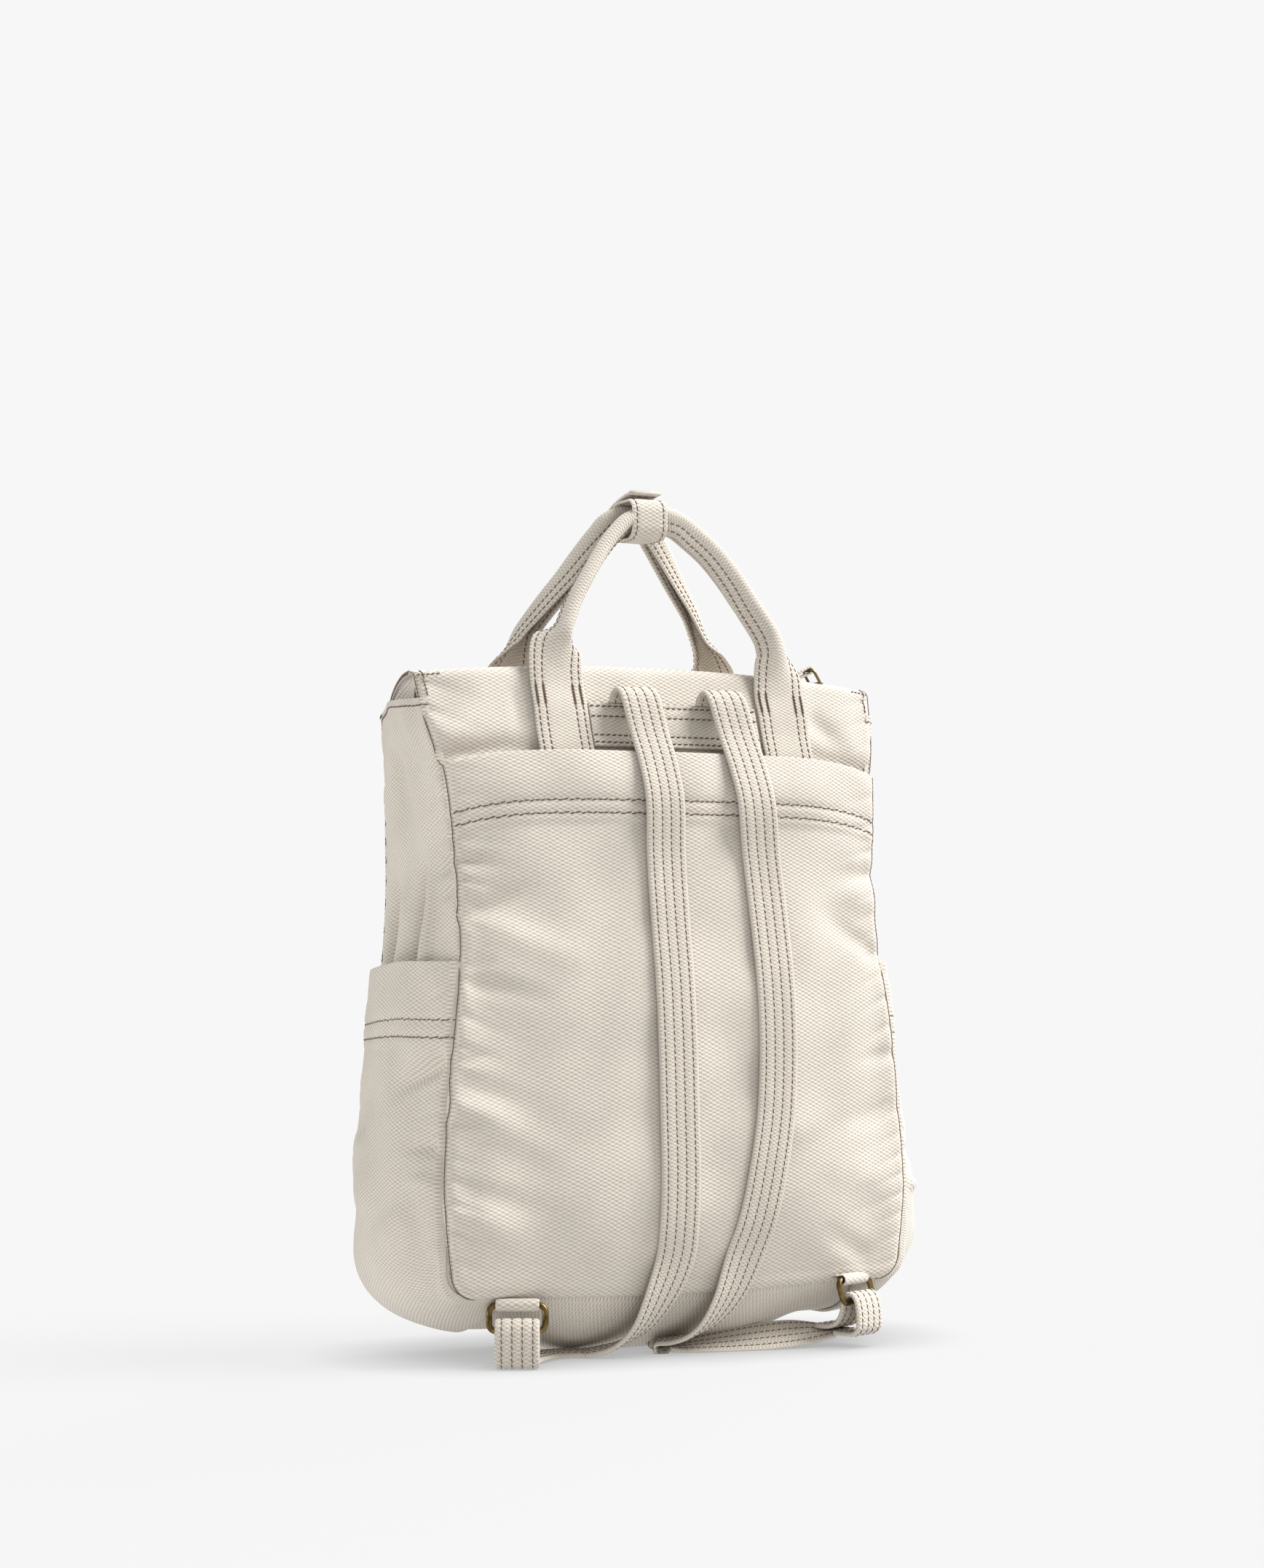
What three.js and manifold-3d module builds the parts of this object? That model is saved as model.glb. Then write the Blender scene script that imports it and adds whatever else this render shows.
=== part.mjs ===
// Cotton canvas backpack, stuffed and standing on its base, harness side facing -Y.
// Millimetres, +Z up, origin on the floor under the middle of the bag.
// Left and right are as seen from the harness side.
import * as THREE from "three";
import { mergeVertices } from "three/addons/utils/BufferGeometryUtils.js";
import Module from "manifold-3d";

const wasm = await Module();
wasm.setup();

// Driving dimensions
const cloth = 1.8; // canvas wall
const gap = 0.4; // air between two layers of cloth
const topHem = 343; // free top edge of the gusset beside the front
const hemRise = 7; // and its rise beside the back
const topCorner = 366; // top edge of the panels at their corners
const topCrown = 4; // rise of that edge at mid width
const cornerRadius = 42; // rounded bottom corners of the panels
const cornerHeight = 78; // height of the centre of those corners
const bottomSag = 3; // drop of the bottom seam at mid width
const floorHalf = 75; // half length of the base that touches the floor
const floorLift = 14.5; // rise of the base from there to the rounded corners
const floorBack = 0.4; // share of the depth where the floor contact starts
const floorFront = 0.83; // share of the depth where it ends
const panelPower = 2.6; // how square the swollen panels are across their width
const pocketTop = 318; // slip pocket's edge at the seams
const pocketRise = 9; // and its rise at mid width
const pocketStandOff = 3.4; // how far the slip pocket's mouth stands open
const sidePocketTop = 207; // side pocket's edge beside the front
const rimRise = 6; // and its rise beside the back
const sidePocketStandOff = 6;
const bandBottom = 330;
const bandTop = 354;
const bandThickness = 2.2;
const footOffset = 67.5; // centre of a handle's foot from the middle
const footWidth = 31;
const strapWidth = 24;
const strapThickness = 2.6;
const ringOffset = 105; // place of the rings along the bottom seam
const ringTurn = 25; // degrees that each ring faces outwards
const ringWidth = 29.5; // between the centres of its uprights
const ringWire = 3.3;
const tabWidth = 23;
const tabThickness = 1.2;
const zipHalf = 137;
const sliderPlace = 110;

// Grid density
const columns = 18;
const cornerSteps = 5;
const sideSteps = 10;
const gussetSteps = 9;

// Body sections from the bottom seam up: half width, depth of the back and front seams,
// and how far out each face swells past its seams
const bodySections = [
  { z: 30, half: 139, back: 55.5, front: 50, backOut: 0, frontOut: 0, leftOut: 10, rightOut: 17 },
  { z: 36, half: 139, back: 55.5, front: 54, backOut: 0, frontOut: 0, leftOut: 10, rightOut: 18 },
  { z: 66, half: 139.5, back: 55.5, front: 61.5, backOut: 9, frontOut: 9, leftOut: 14, rightOut: 25 },
  { z: 90, half: 140, back: 55, front: 65, backOut: 12, frontOut: 13, leftOut: 16, rightOut: 26 },
  { z: 140, half: 137, back: 54, front: 66, backOut: 13.5, frontOut: 16, leftOut: 13.5, rightOut: 16 },
  { z: 180, half: 133, back: 54, front: 66, backOut: 13.5, frontOut: 17, leftOut: 11, rightOut: 11 },
  { z: 213, half: 129, back: 51, front: 64.5, backOut: 14, frontOut: 17, leftOut: 8, rightOut: 8.5 },
  { z: 250, half: 128, back: 44, front: 61.5, backOut: 15, frontOut: 16, leftOut: 5.5, rightOut: 5.5 },
  { z: 286, half: 130, back: 39, front: 57.5, backOut: 14.5, frontOut: 14, leftOut: 6.5, rightOut: 5 },
  { z: 316, half: 133, back: 34, front: 50.5, backOut: 12, frontOut: 11, leftOut: 7.5, rightOut: 6 },
  { z: 343, half: 139, back: 26, front: 41, backOut: 8, frontOut: 7, leftOut: 6, rightOut: 5 },
  { z: 370, half: 142, back: 20.5, front: 30, backOut: 1.5, frontOut: 3, leftOut: 6, rightOut: 5 },
];

// The front panel's side edge above the gusset, where it leans back over the mouth to the zip
const frontShoulder = [
  { y: 30, z: 347, swell: 6 },
  { y: 22.5, z: 351.5, swell: 5 },
  { y: 17.5, z: 356.5, swell: 3.5 },
  { y: 12, z: 361, swell: 2 },
  { y: 5, z: 364.6, swell: 1 },
  { y: -4, z: 366.5, swell: 0 },
];

// Puckers that run inwards from the side seams of the back: side, height at the seam,
// how far in the dent is deepest, half height, depth (a negative depth stands proud) and slope
const seamFolds = [
  { side: -1, z: 268, reach: 16, tall: 7, depth: 3, slope: -0.25 },
  { side: -1, z: 243, reach: 18, tall: 8, depth: -2.5, slope: -0.3 },
  { side: -1, z: 226, reach: 18, tall: 6, depth: 3.5, slope: -0.35 },
  { side: -1, z: 196, reach: 15, tall: 7, depth: -2.5, slope: -0.2 },
  { side: -1, z: 174, reach: 20, tall: 7, depth: 3.5, slope: -0.25 },
  { side: -1, z: 142, reach: 22, tall: 9, depth: 3, slope: -0.4 },
  { side: 1, z: 262, reach: 16, tall: 8, depth: 3, slope: 0.2 },
  { side: 1, z: 214, reach: 18, tall: 7, depth: 3.5, slope: 0.15 },
  { side: 1, z: 186, reach: 16, tall: 8, depth: -2, slope: 0.1 },
  { side: 1, z: 152, reach: 18, tall: 9, depth: 3, slope: -0.2 },
];

// Dents in the gusset's sides: height, share of the depth, half height, half share, depth
const gussetDents = [
  { z: 236, share: 0.32, tall: 26, wide: 0.09, depth: 5 },
  { z: 228, share: 0.66, tall: 20, wide: 0.1, depth: 4 },
  { z: 306, share: 0.55, tall: 24, wide: 0.16, depth: 3 },
];

// Right half of a handle, foot to middle: "free" goes from lying on the panel to standing clear
const handleRows = [
  { x: 67.5, z: 306, width: 31, thick: 2.4, free: 0, back: 0, front: 0 },
  { x: 67.5, z: 322, width: 31, thick: 2.4, free: 0, back: 0, front: 0 },
  { x: 67.5, z: 338, width: 31, thick: 2.4, free: 0, back: 0, front: 0 },
  { x: 67.5, z: 350, width: 31, thick: 2.6, free: 0.5, back: -34, front: 51 },
  { x: 67.5, z: 362, width: 30.5, thick: 4, free: 1, back: -29, front: 43 },
  { x: 67, z: 374, width: 26, thick: 6.5, free: 1, back: -27, front: 37 },
  { x: 65, z: 386, width: 19, thick: 8.5, free: 1, back: -25.5, front: 31 },
  { x: 61, z: 398, width: 15.5, thick: 9.5, free: 1, back: -23.5, front: 25 },
  { x: 55, z: 412, width: 14.5, thick: 9.5, free: 1, back: -20.5, front: 18.5 },
  { x: 47, z: 427, width: 14.5, thick: 9.5, free: 1, back: -17.5, front: 13 },
  { x: 37, z: 441, width: 14.5, thick: 9.5, free: 1, back: -14, front: 8.5 },
  { x: 26, z: 451, width: 14, thick: 9.5, free: 1, back: -11.5, front: 5 },
  { x: 13, z: 458, width: 13, thick: 9.5, free: 1, back: -9.5, front: 3 },
  { x: 0, z: 461, width: 12, thick: 9.5, free: 1, back: -9, front: 2.5 },
];

// Where each strap hangs: its middle across the back at a height
const strapHang = {
  left: [
    { z: 54, x: -11 },
    { z: 110, x: -11 },
    { z: 225, x: -12.6 },
    { z: 322, x: -16 },
    { z: 362, x: -26 },
  ],
  right: [
    { z: 54, x: 31.6 },
    { z: 74, x: 36.9 },
    { z: 138, x: 48.7 },
    { z: 225, x: 48.8 },
    { z: 322, x: 39 },
    { z: 362, x: 27.5 },
  ],
};

// The fold over the band's top edge, from the sewn end to the front leg
const strapFold = [
  { y: -31.6, z: 355.6 },
  { y: -33, z: 359.5 },
  { y: -36.5, z: 362.6 },
  { y: -41, z: 363.2 },
  { y: -45, z: 360.5 },
  { y: -47.2, z: 355 },
  { y: -50, z: 340 },
];

// Under the bag: place of each strap's middle, and the heading of its width in plan
const strapUnder = {
  left: [
    { x: -17.5, y: -63, z: 33, turn: 14 },
    { x: -24, y: -56, z: 16, turn: 34 },
    { x: -32, y: -47, z: 6, turn: 54 },
    { x: -43, y: -41, z: 2, turn: 72 },
    { x: -60, y: -38.5, z: 1.4, turn: 88 },
    { x: -78, y: -39, z: 1.4, turn: 98 },
    { x: -93, y: -43.5, z: 1.4, turn: 125 },
  ],
  right: [
    { x: 24.8, y: -63, z: 33, turn: 16 },
    { x: 16, y: -57.5, z: 18, turn: 34 },
    { x: 8, y: -52.5, z: 10.5, turn: 52 },
    { x: 0, y: -49, z: 7, turn: 62 },
    { x: -7, y: -46.5, z: 5.9, turn: 66 },
    { x: -9.4, y: -45.4, z: 5.3, turn: 66 },
    { x: -10.4, y: -45, z: 3.7, turn: 66 },
    { x: -9.4, y: -45.4, z: 2.1, turn: 66 },
    { x: -7, y: -46.5, z: 1.5, turn: 66 },
    { x: -2, y: -47.2, z: 1.4, turn: 70 },
    { x: 8, y: -46, z: 1.4, turn: 80 },
    { x: 40, y: -41, z: 1.4, turn: 90 },
    { x: 62, y: -38.5, z: 1.4, turn: 90 },
    { x: 78, y: -39, z: 1.4, turn: 82 },
    { x: 93, y: -43.5, z: 1.4, turn: 55 },
  ],
};

// Loop through a ring, seen along its bar: distance out from the seam, and height
const ringLoop = [
  { out: -5, z: 1.4 },
  { out: 5, z: 1.4 },
  { out: 11, z: 1.8 },
  { out: 14.2, z: 4.6 },
  { out: 14.2, z: 10 },
  { out: 12.9, z: 15 },
  { out: 11.8, z: 18.8 },
  { out: 10.6, z: 21 },
  { out: 8.5, z: 21.9 },
  { out: 6.3, z: 20.8 },
  { out: 5, z: 17.5 },
  { out: 3.6, z: 12 },
  { out: 0, z: 6.8 },
  { out: -6, z: 4.7 },
  { out: -14, z: 4.5 },
];
const ringTop = { out: 4.6, z: 31 };
const ringBottom = { out: 8.5, z: 18.5 };

// Materials
const canvas = new THREE.MeshStandardMaterial({ color: 0xe6dfd0, roughness: 0.95, metalness: 0 });
const webbing = new THREE.MeshStandardMaterial({ color: 0xe2dacb, roughness: 0.95, metalness: 0 });
const brass = new THREE.MeshStandardMaterial({ color: 0x8a7648, roughness: 0.38, metalness: 1 });
const zipCloth = new THREE.MeshStandardMaterial({ color: 0xd8cdb8, roughness: 0.9, metalness: 0 });

const backpack = new THREE.Group();
function add(name, geometry, material) {
  const mesh = new THREE.Mesh(geometry, material);
  mesh.name = name;
  backpack.add(mesh);
}

// Numbers and tables
const radians = THREE.MathUtils.degToRad;
const mix = THREE.MathUtils.lerp;
const smooth = THREE.MathUtils.smoothstep;

// Value of a named column at a height, on a smooth curve through the table's rows
function lookUp(rows, column, z) {
  const last = rows.length - 1;
  const at = THREE.MathUtils.clamp(z, rows[0].z, rows[last].z);
  let i = 0;
  while (i < last - 1 && at > rows[i + 1].z) i += 1;
  const slope = (a, b) => (rows[b][column] - rows[a][column]) / (rows[b].z - rows[a].z);
  const length = rows[i + 1].z - rows[i].z;
  const t = (at - rows[i].z) / length;
  const startSlope = slope(Math.max(i - 1, 0), i + 1) * length;
  const endSlope = slope(i, Math.min(i + 2, last)) * length;
  const rise = rows[i + 1][column] - rows[i][column];
  const bend = t * (1 - t);
  const straight = rows[i][column] + rise * t;
  return straight + bend * ((startSlope - rise) * (1 - t) - (endSlope - rise) * t);
}
const section = (column, z) => lookUp(bodySections, column, z);

// Triangles over a grid of points whose rows are closed loops. From column "turned" on, squares are
// cut along their other diagonal, so that both faces of a wall and the next layer crease alike.
function indexGrid(rows, cols, closed, turned = cols) {
  const faces = [];
  const rowSteps = closed ? rows : rows - 1;
  for (let i = 0; i < rowSteps; i += 1) {
    const next = (i + 1) % rows;
    for (let j = 0; j < cols; j += 1) {
      const side = (j + 1) % cols;
      const a = i * cols + j;
      const b = i * cols + side;
      const c = next * cols + side;
      const d = next * cols + j;
      faces.push(...(j < turned ? [a, b, c, a, c, d] : [b, c, d, b, d, a]));
    }
  }
  return faces;
}

function signedVolume(points, faces) {
  let sum = 0;
  for (let k = 0; k < faces.length; k += 3) {
    const cross = points[faces[k + 1]].clone().cross(points[faces[k + 2]]);
    sum += points[faces[k]].dot(cross);
  }
  return sum / 6;
}

// A closed solid from points and triangles, turned so that its faces point out
function solid(points, faces) {
  if (signedVolume(points, faces) < 0) faces.reverse();
  const geometry = new THREE.BufferGeometry().setFromPoints(points);
  geometry.setIndex(faces);
  return geometry;
}

// Loops of points joined in order, with flat ends, or closed on itself as a ring is
function loft(loops, closed = false) {
  const cols = loops[0].length;
  const points = loops.flat();
  const faces = indexGrid(loops.length, cols, closed);
  if (!closed) {
    const start = (loops.length - 1) * cols;
    for (let j = 1; j < cols - 1; j += 1) {
      faces.push(0, j + 1, j);
      faces.push(start, start + j, start + j + 1);
    }
  }
  return solid(points, faces);
}

// A cloth wall between an outer and an inner grid of points
function wall(outer, inner) {
  const loops = outer.map((row, i) => [...row, ...[...inner[i]].reverse()]);
  const cols = loops[0].length;
  const half = cols / 2;
  const points = loops.flat();
  const faces = indexGrid(loops.length, cols, false, half);
  for (const [start, flip] of [[0, true], [(loops.length - 1) * cols, false]]) {
    for (let j = 0; j < half - 1; j += 1) {
      const a = start + j;
      const b = start + j + 1;
      const c = start + cols - 2 - j;
      const d = start + cols - 1 - j;
      faces.push(...(flip ? [a, c, b, a, d, c] : [a, b, c, a, c, d]));
    }
  }
  return solid(points, faces);
}

// The inner grid of a wall: each outer point moved inwards along the surface's own normal
function thicken(outer, amount, inward) {
  return outer.map((row, i) =>
    row.map((point, j) => {
      const before = outer[Math.max(i - 1, 0)][j];
      const after = outer[Math.min(i + 1, outer.length - 1)][j];
      const along = after.clone().sub(before);
      const across = row[Math.min(j + 1, row.length - 1)].clone().sub(row[Math.max(j - 1, 0)]);
      const normal = along.cross(across).normalize();
      if (normal.dot(inward(point)) < 0) normal.negate();
      return point.clone().addScaledVector(normal, amount);
    }),
  );
}

// Seam that runs down one side of a panel, from the bottom seam up: half width, height, outward direction
function seamStation(x, z, angle) {
  return { x, z, nx: Math.cos(angle), nz: -Math.sin(angle), bottomness: angle / (Math.PI / 2) };
}
const cornerHalf = section("half", cornerHeight) - cornerRadius;
const sideSeam = [];
for (let k = 0; k < cornerSteps; k += 1) {
  const angle = (Math.PI / 2) * (1 - k / cornerSteps);
  const x = cornerHalf + cornerRadius * Math.cos(angle);
  sideSeam.push(seamStation(x, cornerHeight - cornerRadius * Math.sin(angle), angle));
}
for (let k = 0; k <= sideSteps; k += 1) {
  const z = mix(cornerHeight, topHem, k / sideSteps);
  sideSeam.push(seamStation(section("half", z), z, 0));
}
const bottomSeamHeight = cornerHeight - cornerRadius;
const topStations = [350, 358, topCorner].map((z) => seamStation(section("half", z), z, 0));
const shares = Array.from({ length: columns + 1 }, (_, j) => (2 * j) / columns - 1);

// Height of a panel's point: rows sag to the bottom seam and crown at the top edge
function rowHeight(z, u) {
  const sag = bottomSag * (1 - smooth(z, bottomSeamHeight, 110));
  const crown = topCrown * smooth(z, 325, topCorner);
  return z + (crown - sag) * (1 - u * u);
}

// How far the puckers push the back inwards at a place
function pucker(x, z) {
  let sum = 0;
  const edge = section("half", z);
  for (const fold of seamFolds) {
    const inset = Math.max(edge - x * fold.side, 0);
    const along = (inset / fold.reach) * Math.exp(1 - inset / fold.reach);
    const off = (z - fold.z - fold.slope * inset) / fold.tall;
    sum += fold.depth * along * Math.exp(-off * off);
  }
  return sum;
}

// Outer face of the back panel at a share of its half width
function backDepth(u, z) {
  const swell = section("backOut", z) * (1 - Math.abs(u) ** panelPower);
  return -section("back", z) - swell;
}
function seamHalf(z) {
  if (z >= cornerHeight) return section("half", z);
  const drop = Math.min(cornerHeight - z, cornerRadius);
  return cornerHalf + Math.sqrt(cornerRadius ** 2 - drop ** 2);
}
function backFace(x, z) {
  const u = x / seamHalf(z);
  const rowZ = 2 * z - rowHeight(z, u);
  return backDepth(u, rowZ) + pucker(x, rowZ);
}
function frontFace(x, z) {
  const u = x / seamHalf(z);
  return section("front", z) + section("frontOut", z) * (1 - Math.abs(u) ** panelPower);
}

// Points of a layer that lies on the back, a distance outside the panel's own face
function backRow(station, offset) {
  return shares.map((u) => {
    const x = u * station.x;
    const z = rowHeight(station.z, u);
    const y = backDepth(u, station.z) + pucker(x, station.z);
    return new THREE.Vector3(x, y - offset(u, station.z), z);
  });
}

function backPanel() {
  const stations = [...sideSeam, ...topStations];
  const outer = stations.map((station) => backRow(station, () => 0));
  const inner = stations.map((station) => backRow(station, () => -cloth));
  return wall(outer, inner);
}

// The slip pocket: a second layer over the panel whose mouth stands a little open
function backPocket() {
  const rows = sideSeam.filter((station) => station.z < pocketTop - 12);
  rows.push(seamStation(section("half", pocketTop - 12), pocketTop - 12, 0));
  rows.push(seamStation(section("half", pocketTop), pocketTop, 0));
  const lift = (u, z) => pocketStandOff * smooth(z, 278, 304) * (1 - u ** 6);
  const rise = (row, station) =>
    row.map((point, j) => {
      point.z += pocketRise * smooth(station.z, 235, 288) * (1 - Math.abs(shares[j]) ** 5);
      return point;
    });
  const layer = (extra) =>
    rows.map((station) => rise(backRow(station, (u, z) => gap + extra + lift(u, z)), station));
  return wall(layer(cloth), layer(0));
}

function frontPanel() {
  const lower = sideSeam.map((station) =>
    shares.map((u) => {
      const swell = section("frontOut", station.z) * (1 - Math.abs(u) ** panelPower);
      const y = section("front", station.z) + swell;
      return new THREE.Vector3(u * station.x, y, rowHeight(station.z, u));
    }),
  );
  const upper = frontShoulder.map((row) =>
    shares.map((u) => {
      const swell = row.swell * (1 - Math.abs(u) ** panelPower);
      const half = section("half", row.z);
      return new THREE.Vector3(u * half, row.y + swell, rowHeight(row.z, u) + swell / 2);
    }),
  );
  const outer = [...lower, ...upper];
  const middle = new THREE.Vector3(0, -20, 200);
  return wall(outer, thicken(outer, cloth, (point) => middle.clone().sub(point)));
}

// The gusset: one strip down the left side, along the bottom and up the right side
function gussetPath() {
  const right = [...sideSeam].reverse().map((station) => ({ ...station, sign: 1 }));
  const left = sideSeam.map((station) => ({ ...station, x: -station.x, nx: -station.nx, sign: -1 }));
  const bottom = shares.slice(1, -1).map((u) => {
    const z = bottomSeamHeight - bottomSag * (1 - u * u);
    return { x: -u * cornerHalf, z, nx: 0, nz: -1, bottomness: 1, sign: 0 };
  });
  return [...right, ...bottom, ...left];
}

// Flat on the floor between two shares of the depth, and rounded up to both seams
function floorProfile(w) {
  if (w < floorBack) return 1 - ((floorBack - w) / floorBack) ** 2.2;
  if (w > floorFront) return 1 - ((w - floorFront) / (1 - floorFront)) ** 2;
  return 1;
}

function gussetPoint(station, w, offset) {
  const seat = cloth + gap;
  const z = station.z + hemRise * smooth(station.z, 318, topHem) * (1 - smooth(w, 0.5, 1));
  const x = station.bottomness > 0 ? station.x : Math.sign(station.x) * section("half", z);
  const shoulder = 2.6 * smooth(z, topHem - 13, topHem);
  const y = mix(-section("back", z) + seat, section("front", z) - seat - shoulder, w);
  const dents = gussetDents.reduce((sum, dent) => {
    const up = (z - dent.z) / dent.tall;
    const side = (w - dent.share) / dent.wide;
    return sum + dent.depth * Math.exp(-up * up - side * side);
  }, 0);
  const swellColumn = station.x < 0 ? "leftOut" : "rightOut";
  const sideways = section(swellColumn, z) * (1 - Math.abs(2 * w - 1) ** 2.4) - dents;
  const lift = floorLift * smooth(Math.abs(x), floorHalf, cornerHalf);
  const down = (z - lift) * floorProfile(w);
  const swell = mix(sideways, down, smooth(station.bottomness, 0, 1)) + offset;
  return new THREE.Vector3(x + station.nx * swell, y, Math.max(z + station.nz * swell, 0));
}

function gusset() {
  const across = Array.from({ length: gussetSteps + 1 }, (_, j) => j / gussetSteps);
  const outer = gussetPath().map((station) => across.map((w) => gussetPoint(station, w, 0)));
  const middle = new THREE.Vector3(0, 5, 190);
  return wall(outer, thicken(outer, cloth, (point) => middle.clone().sub(point)));
}

// A side pocket: a patch over the gusset, from under the bottom corner up to its open mouth
function sidePocket(sign) {
  const top = seamStation(section("half", sidePocketTop), sidePocketTop, 0);
  const rows = [...sideSeam.slice(1).filter((station) => station.z < sidePocketTop - 4), top];
  if (sign > 0) rows.reverse();
  const across = Array.from({ length: gussetSteps + 1 }, (_, j) => j / gussetSteps);
  const layer = (extra) =>
    rows.map((station) => {
      return across.map((w) => {
        const z = station.z + rimRise * smooth(station.z, 140, 190) * (1 - smooth(w, 0.3, 1));
        const placed = { ...station, x: sign * station.x, z, nx: sign * station.nx };
        const open = sidePocketStandOff * smooth(station.z, 150, sidePocketTop);
        const proud = open * (1 - (2 * w - 1) ** 4);
        return gussetPoint(placed, w, gap + extra + proud);
      });
    });
  return wall(layer(cloth), layer(0));
}

// The band that the straps are sewn into, flat on the back between the handles' feet
function strapBand() {
  const reach = footOffset - footWidth / 2 - gap;
  const steps = 12;
  const heights = [bandBottom, mix(bandBottom, bandTop, 0.5), bandTop];
  const layer = (offset) =>
    heights.map((z) =>
      Array.from({ length: steps + 1 }, (_, j) => {
        const x = mix(-reach, reach, j / steps);
        return new THREE.Vector3(x, backFace(x, z) - offset, z);
      }),
    );
  return wall(layer(gap + 0.3 + bandThickness), layer(gap + 0.3));
}

// A handle: flat wide feet that fold into a narrow round grip
function handle(side) {
  const isBack = side === "back";
  const face = isBack ? backFace : frontFace;
  const outward = isBack ? -1 : 1;
  const half = handleRows.map((row) => ({ ...row, y: row[side] }));
  const left = half.slice(0, -1).map((row) => ({ ...row, x: -row.x }));
  const rows = [...left, ...[...half].reverse()];
  const spots = [-1, -0.4, 0.4, 1];
  const centres = rows.map((row) => new THREE.Vector3(row.x, row.y, row.z));
  const loops = rows.map((row, i) => {
    const before = centres[Math.max(i - 1, 0)];
    const after = centres[Math.min(i + 1, rows.length - 1)];
    const width = new THREE.Vector3(after.z - before.z, 0, before.x - after.x).normalize();
    const place = (spot, layer) => {
      const point = centres[i].clone().addScaledVector(width, (spot * row.width) / 2);
      const round = mix(1, 1 - 0.45 * Math.abs(spot) ** 4, row.free);
      const lying = face(point.x, point.z) + outward * (gap + 0.2 + (layer > 0 ? row.thick : 0));
      const standing = row.y + outward * layer * 0.5 * row.thick * round;
      return point.setY(mix(lying, standing, row.free));
    };
    return [...spots.map((spot) => place(spot, 1)), ...[...spots].reverse().map((spot) => place(spot, -1))];
  });
  return loft(loops);
}

// A flat ribbon along a route; each stop says which way the ribbon's width points in plan
function ribbon(stops, width, thickness, stepsPerStop = 1) {
  const curve = new THREE.CatmullRomCurve3(stops.map((stop) => new THREE.Vector3(stop.x, stop.y, stop.z)));
  const last = stops.length - 1;
  const loops = [];
  for (let k = 0; k <= last * stepsPerStop; k += 1) {
    const along = k / stepsPerStop;
    const i = Math.min(Math.floor(along), last - 1);
    const turn = radians(mix(stops[i].turn, stops[i + 1].turn, along - i));
    const point = curve.getPoint(along / last);
    const tangent = curve.getTangent(along / last);
    const across = new THREE.Vector3(Math.cos(turn), Math.sin(turn), 0);
    across.addScaledVector(tangent, -across.dot(tangent)).normalize();
    const normal = tangent.clone().cross(across);
    const corner = (s, n) =>
      point.clone().addScaledVector(across, (s * width) / 2).addScaledVector(normal, (n * thickness) / 2);
    loops.push([corner(-1, -1), corner(1, -1), corner(1, 1), corner(-1, 1)]);
  }
  return loft(loops);
}

// Place beside a ring: "out" runs away from the bottom seam, square to the ring's bar
function besideRing(sign, out, z) {
  const turn = radians(ringTurn);
  const seam = -section("back", bottomSeamHeight);
  return { x: sign * (ringOffset + out * Math.sin(turn)), y: seam - out * Math.cos(turn), z };
}

// A shoulder strap: sewn end, fold over the band, run down the back, under the bag and through its ring
function strap(side) {
  const sign = side === "left" ? -1 : 1;
  const hang = strapHang[side];
  const top = hang[hang.length - 1].x;
  const stops = strapFold.map((fold) => ({ x: lookUp(hang, "x", fold.z), turn: 0, ...fold }));
  stops.forEach((stop) => {
    if (stop.y > strapFold[3].y) stop.x = top;
  });
  for (const z of [320, 300, 270, 235, 200, 165, 130, 100, 74, 54]) {
    const x = lookUp(hang, "x", z);
    const under = [-0.5, 0, 0.5].map((spot) => backFace(x + spot * strapWidth, z));
    const mouth = (pocketStandOff + 4.4) * smooth(z, 258, 300);
    const clear = gap + cloth + mouth + 1 + strapThickness / 2;
    stops.push({ x, y: Math.min(...under) - clear, z, turn: 0 });
  }
  stops.push(...strapUnder[side]);
  const ringHeading = sign < 0 ? 180 - ringTurn : ringTurn;
  for (const stop of ringLoop) {
    stops.push({ ...besideRing(sign, stop.out, stop.z), turn: ringHeading });
  }
  return ribbon(stops, strapWidth, strapThickness, 2);
}

// A wire bent to a closed path
function wireLoop(path, wire, sides = 6) {
  const count = path.length;
  const middle = path.reduce((sum, point) => sum.add(point), new THREE.Vector3()).divideScalar(count);
  const edge = path[1].clone().sub(path[0]);
  const normal = edge.cross(path[0].clone().sub(middle)).normalize();
  const loops = path.map((point, i) => {
    const tangent = path[(i + 1) % count].clone().sub(path[(i + count - 1) % count]).normalize();
    const outward = tangent.clone().cross(normal);
    return Array.from({ length: sides }, (_, k) => {
      const angle = (2 * Math.PI * (k + 0.5)) / sides;
      return point
        .clone()
        .addScaledVector(outward, (Math.cos(angle) * wire) / 2)
        .addScaledVector(normal, (Math.sin(angle) * wire) / 2);
    });
  });
  return loft(loops, true);
}

// Points of a rectangle with round corners, as shares of a width and a height
function roundedPath(width, height, radius, stepsPerCorner = 4) {
  const points = [];
  for (let corner = 0; corner < 4; corner += 1) {
    const sx = corner === 0 || corner === 3 ? 1 : -1;
    const sz = corner < 2 ? 1 : -1;
    for (let k = 0; k <= stepsPerCorner; k += 1) {
      const angle = (corner + k / stepsPerCorner) * (Math.PI / 2);
      const x = sx * (width / 2 - radius) + radius * Math.cos(angle);
      const z = sz * (height / 2 - radius) + radius * Math.sin(angle);
      points.push({ x, z });
    }
  }
  return points;
}

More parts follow.
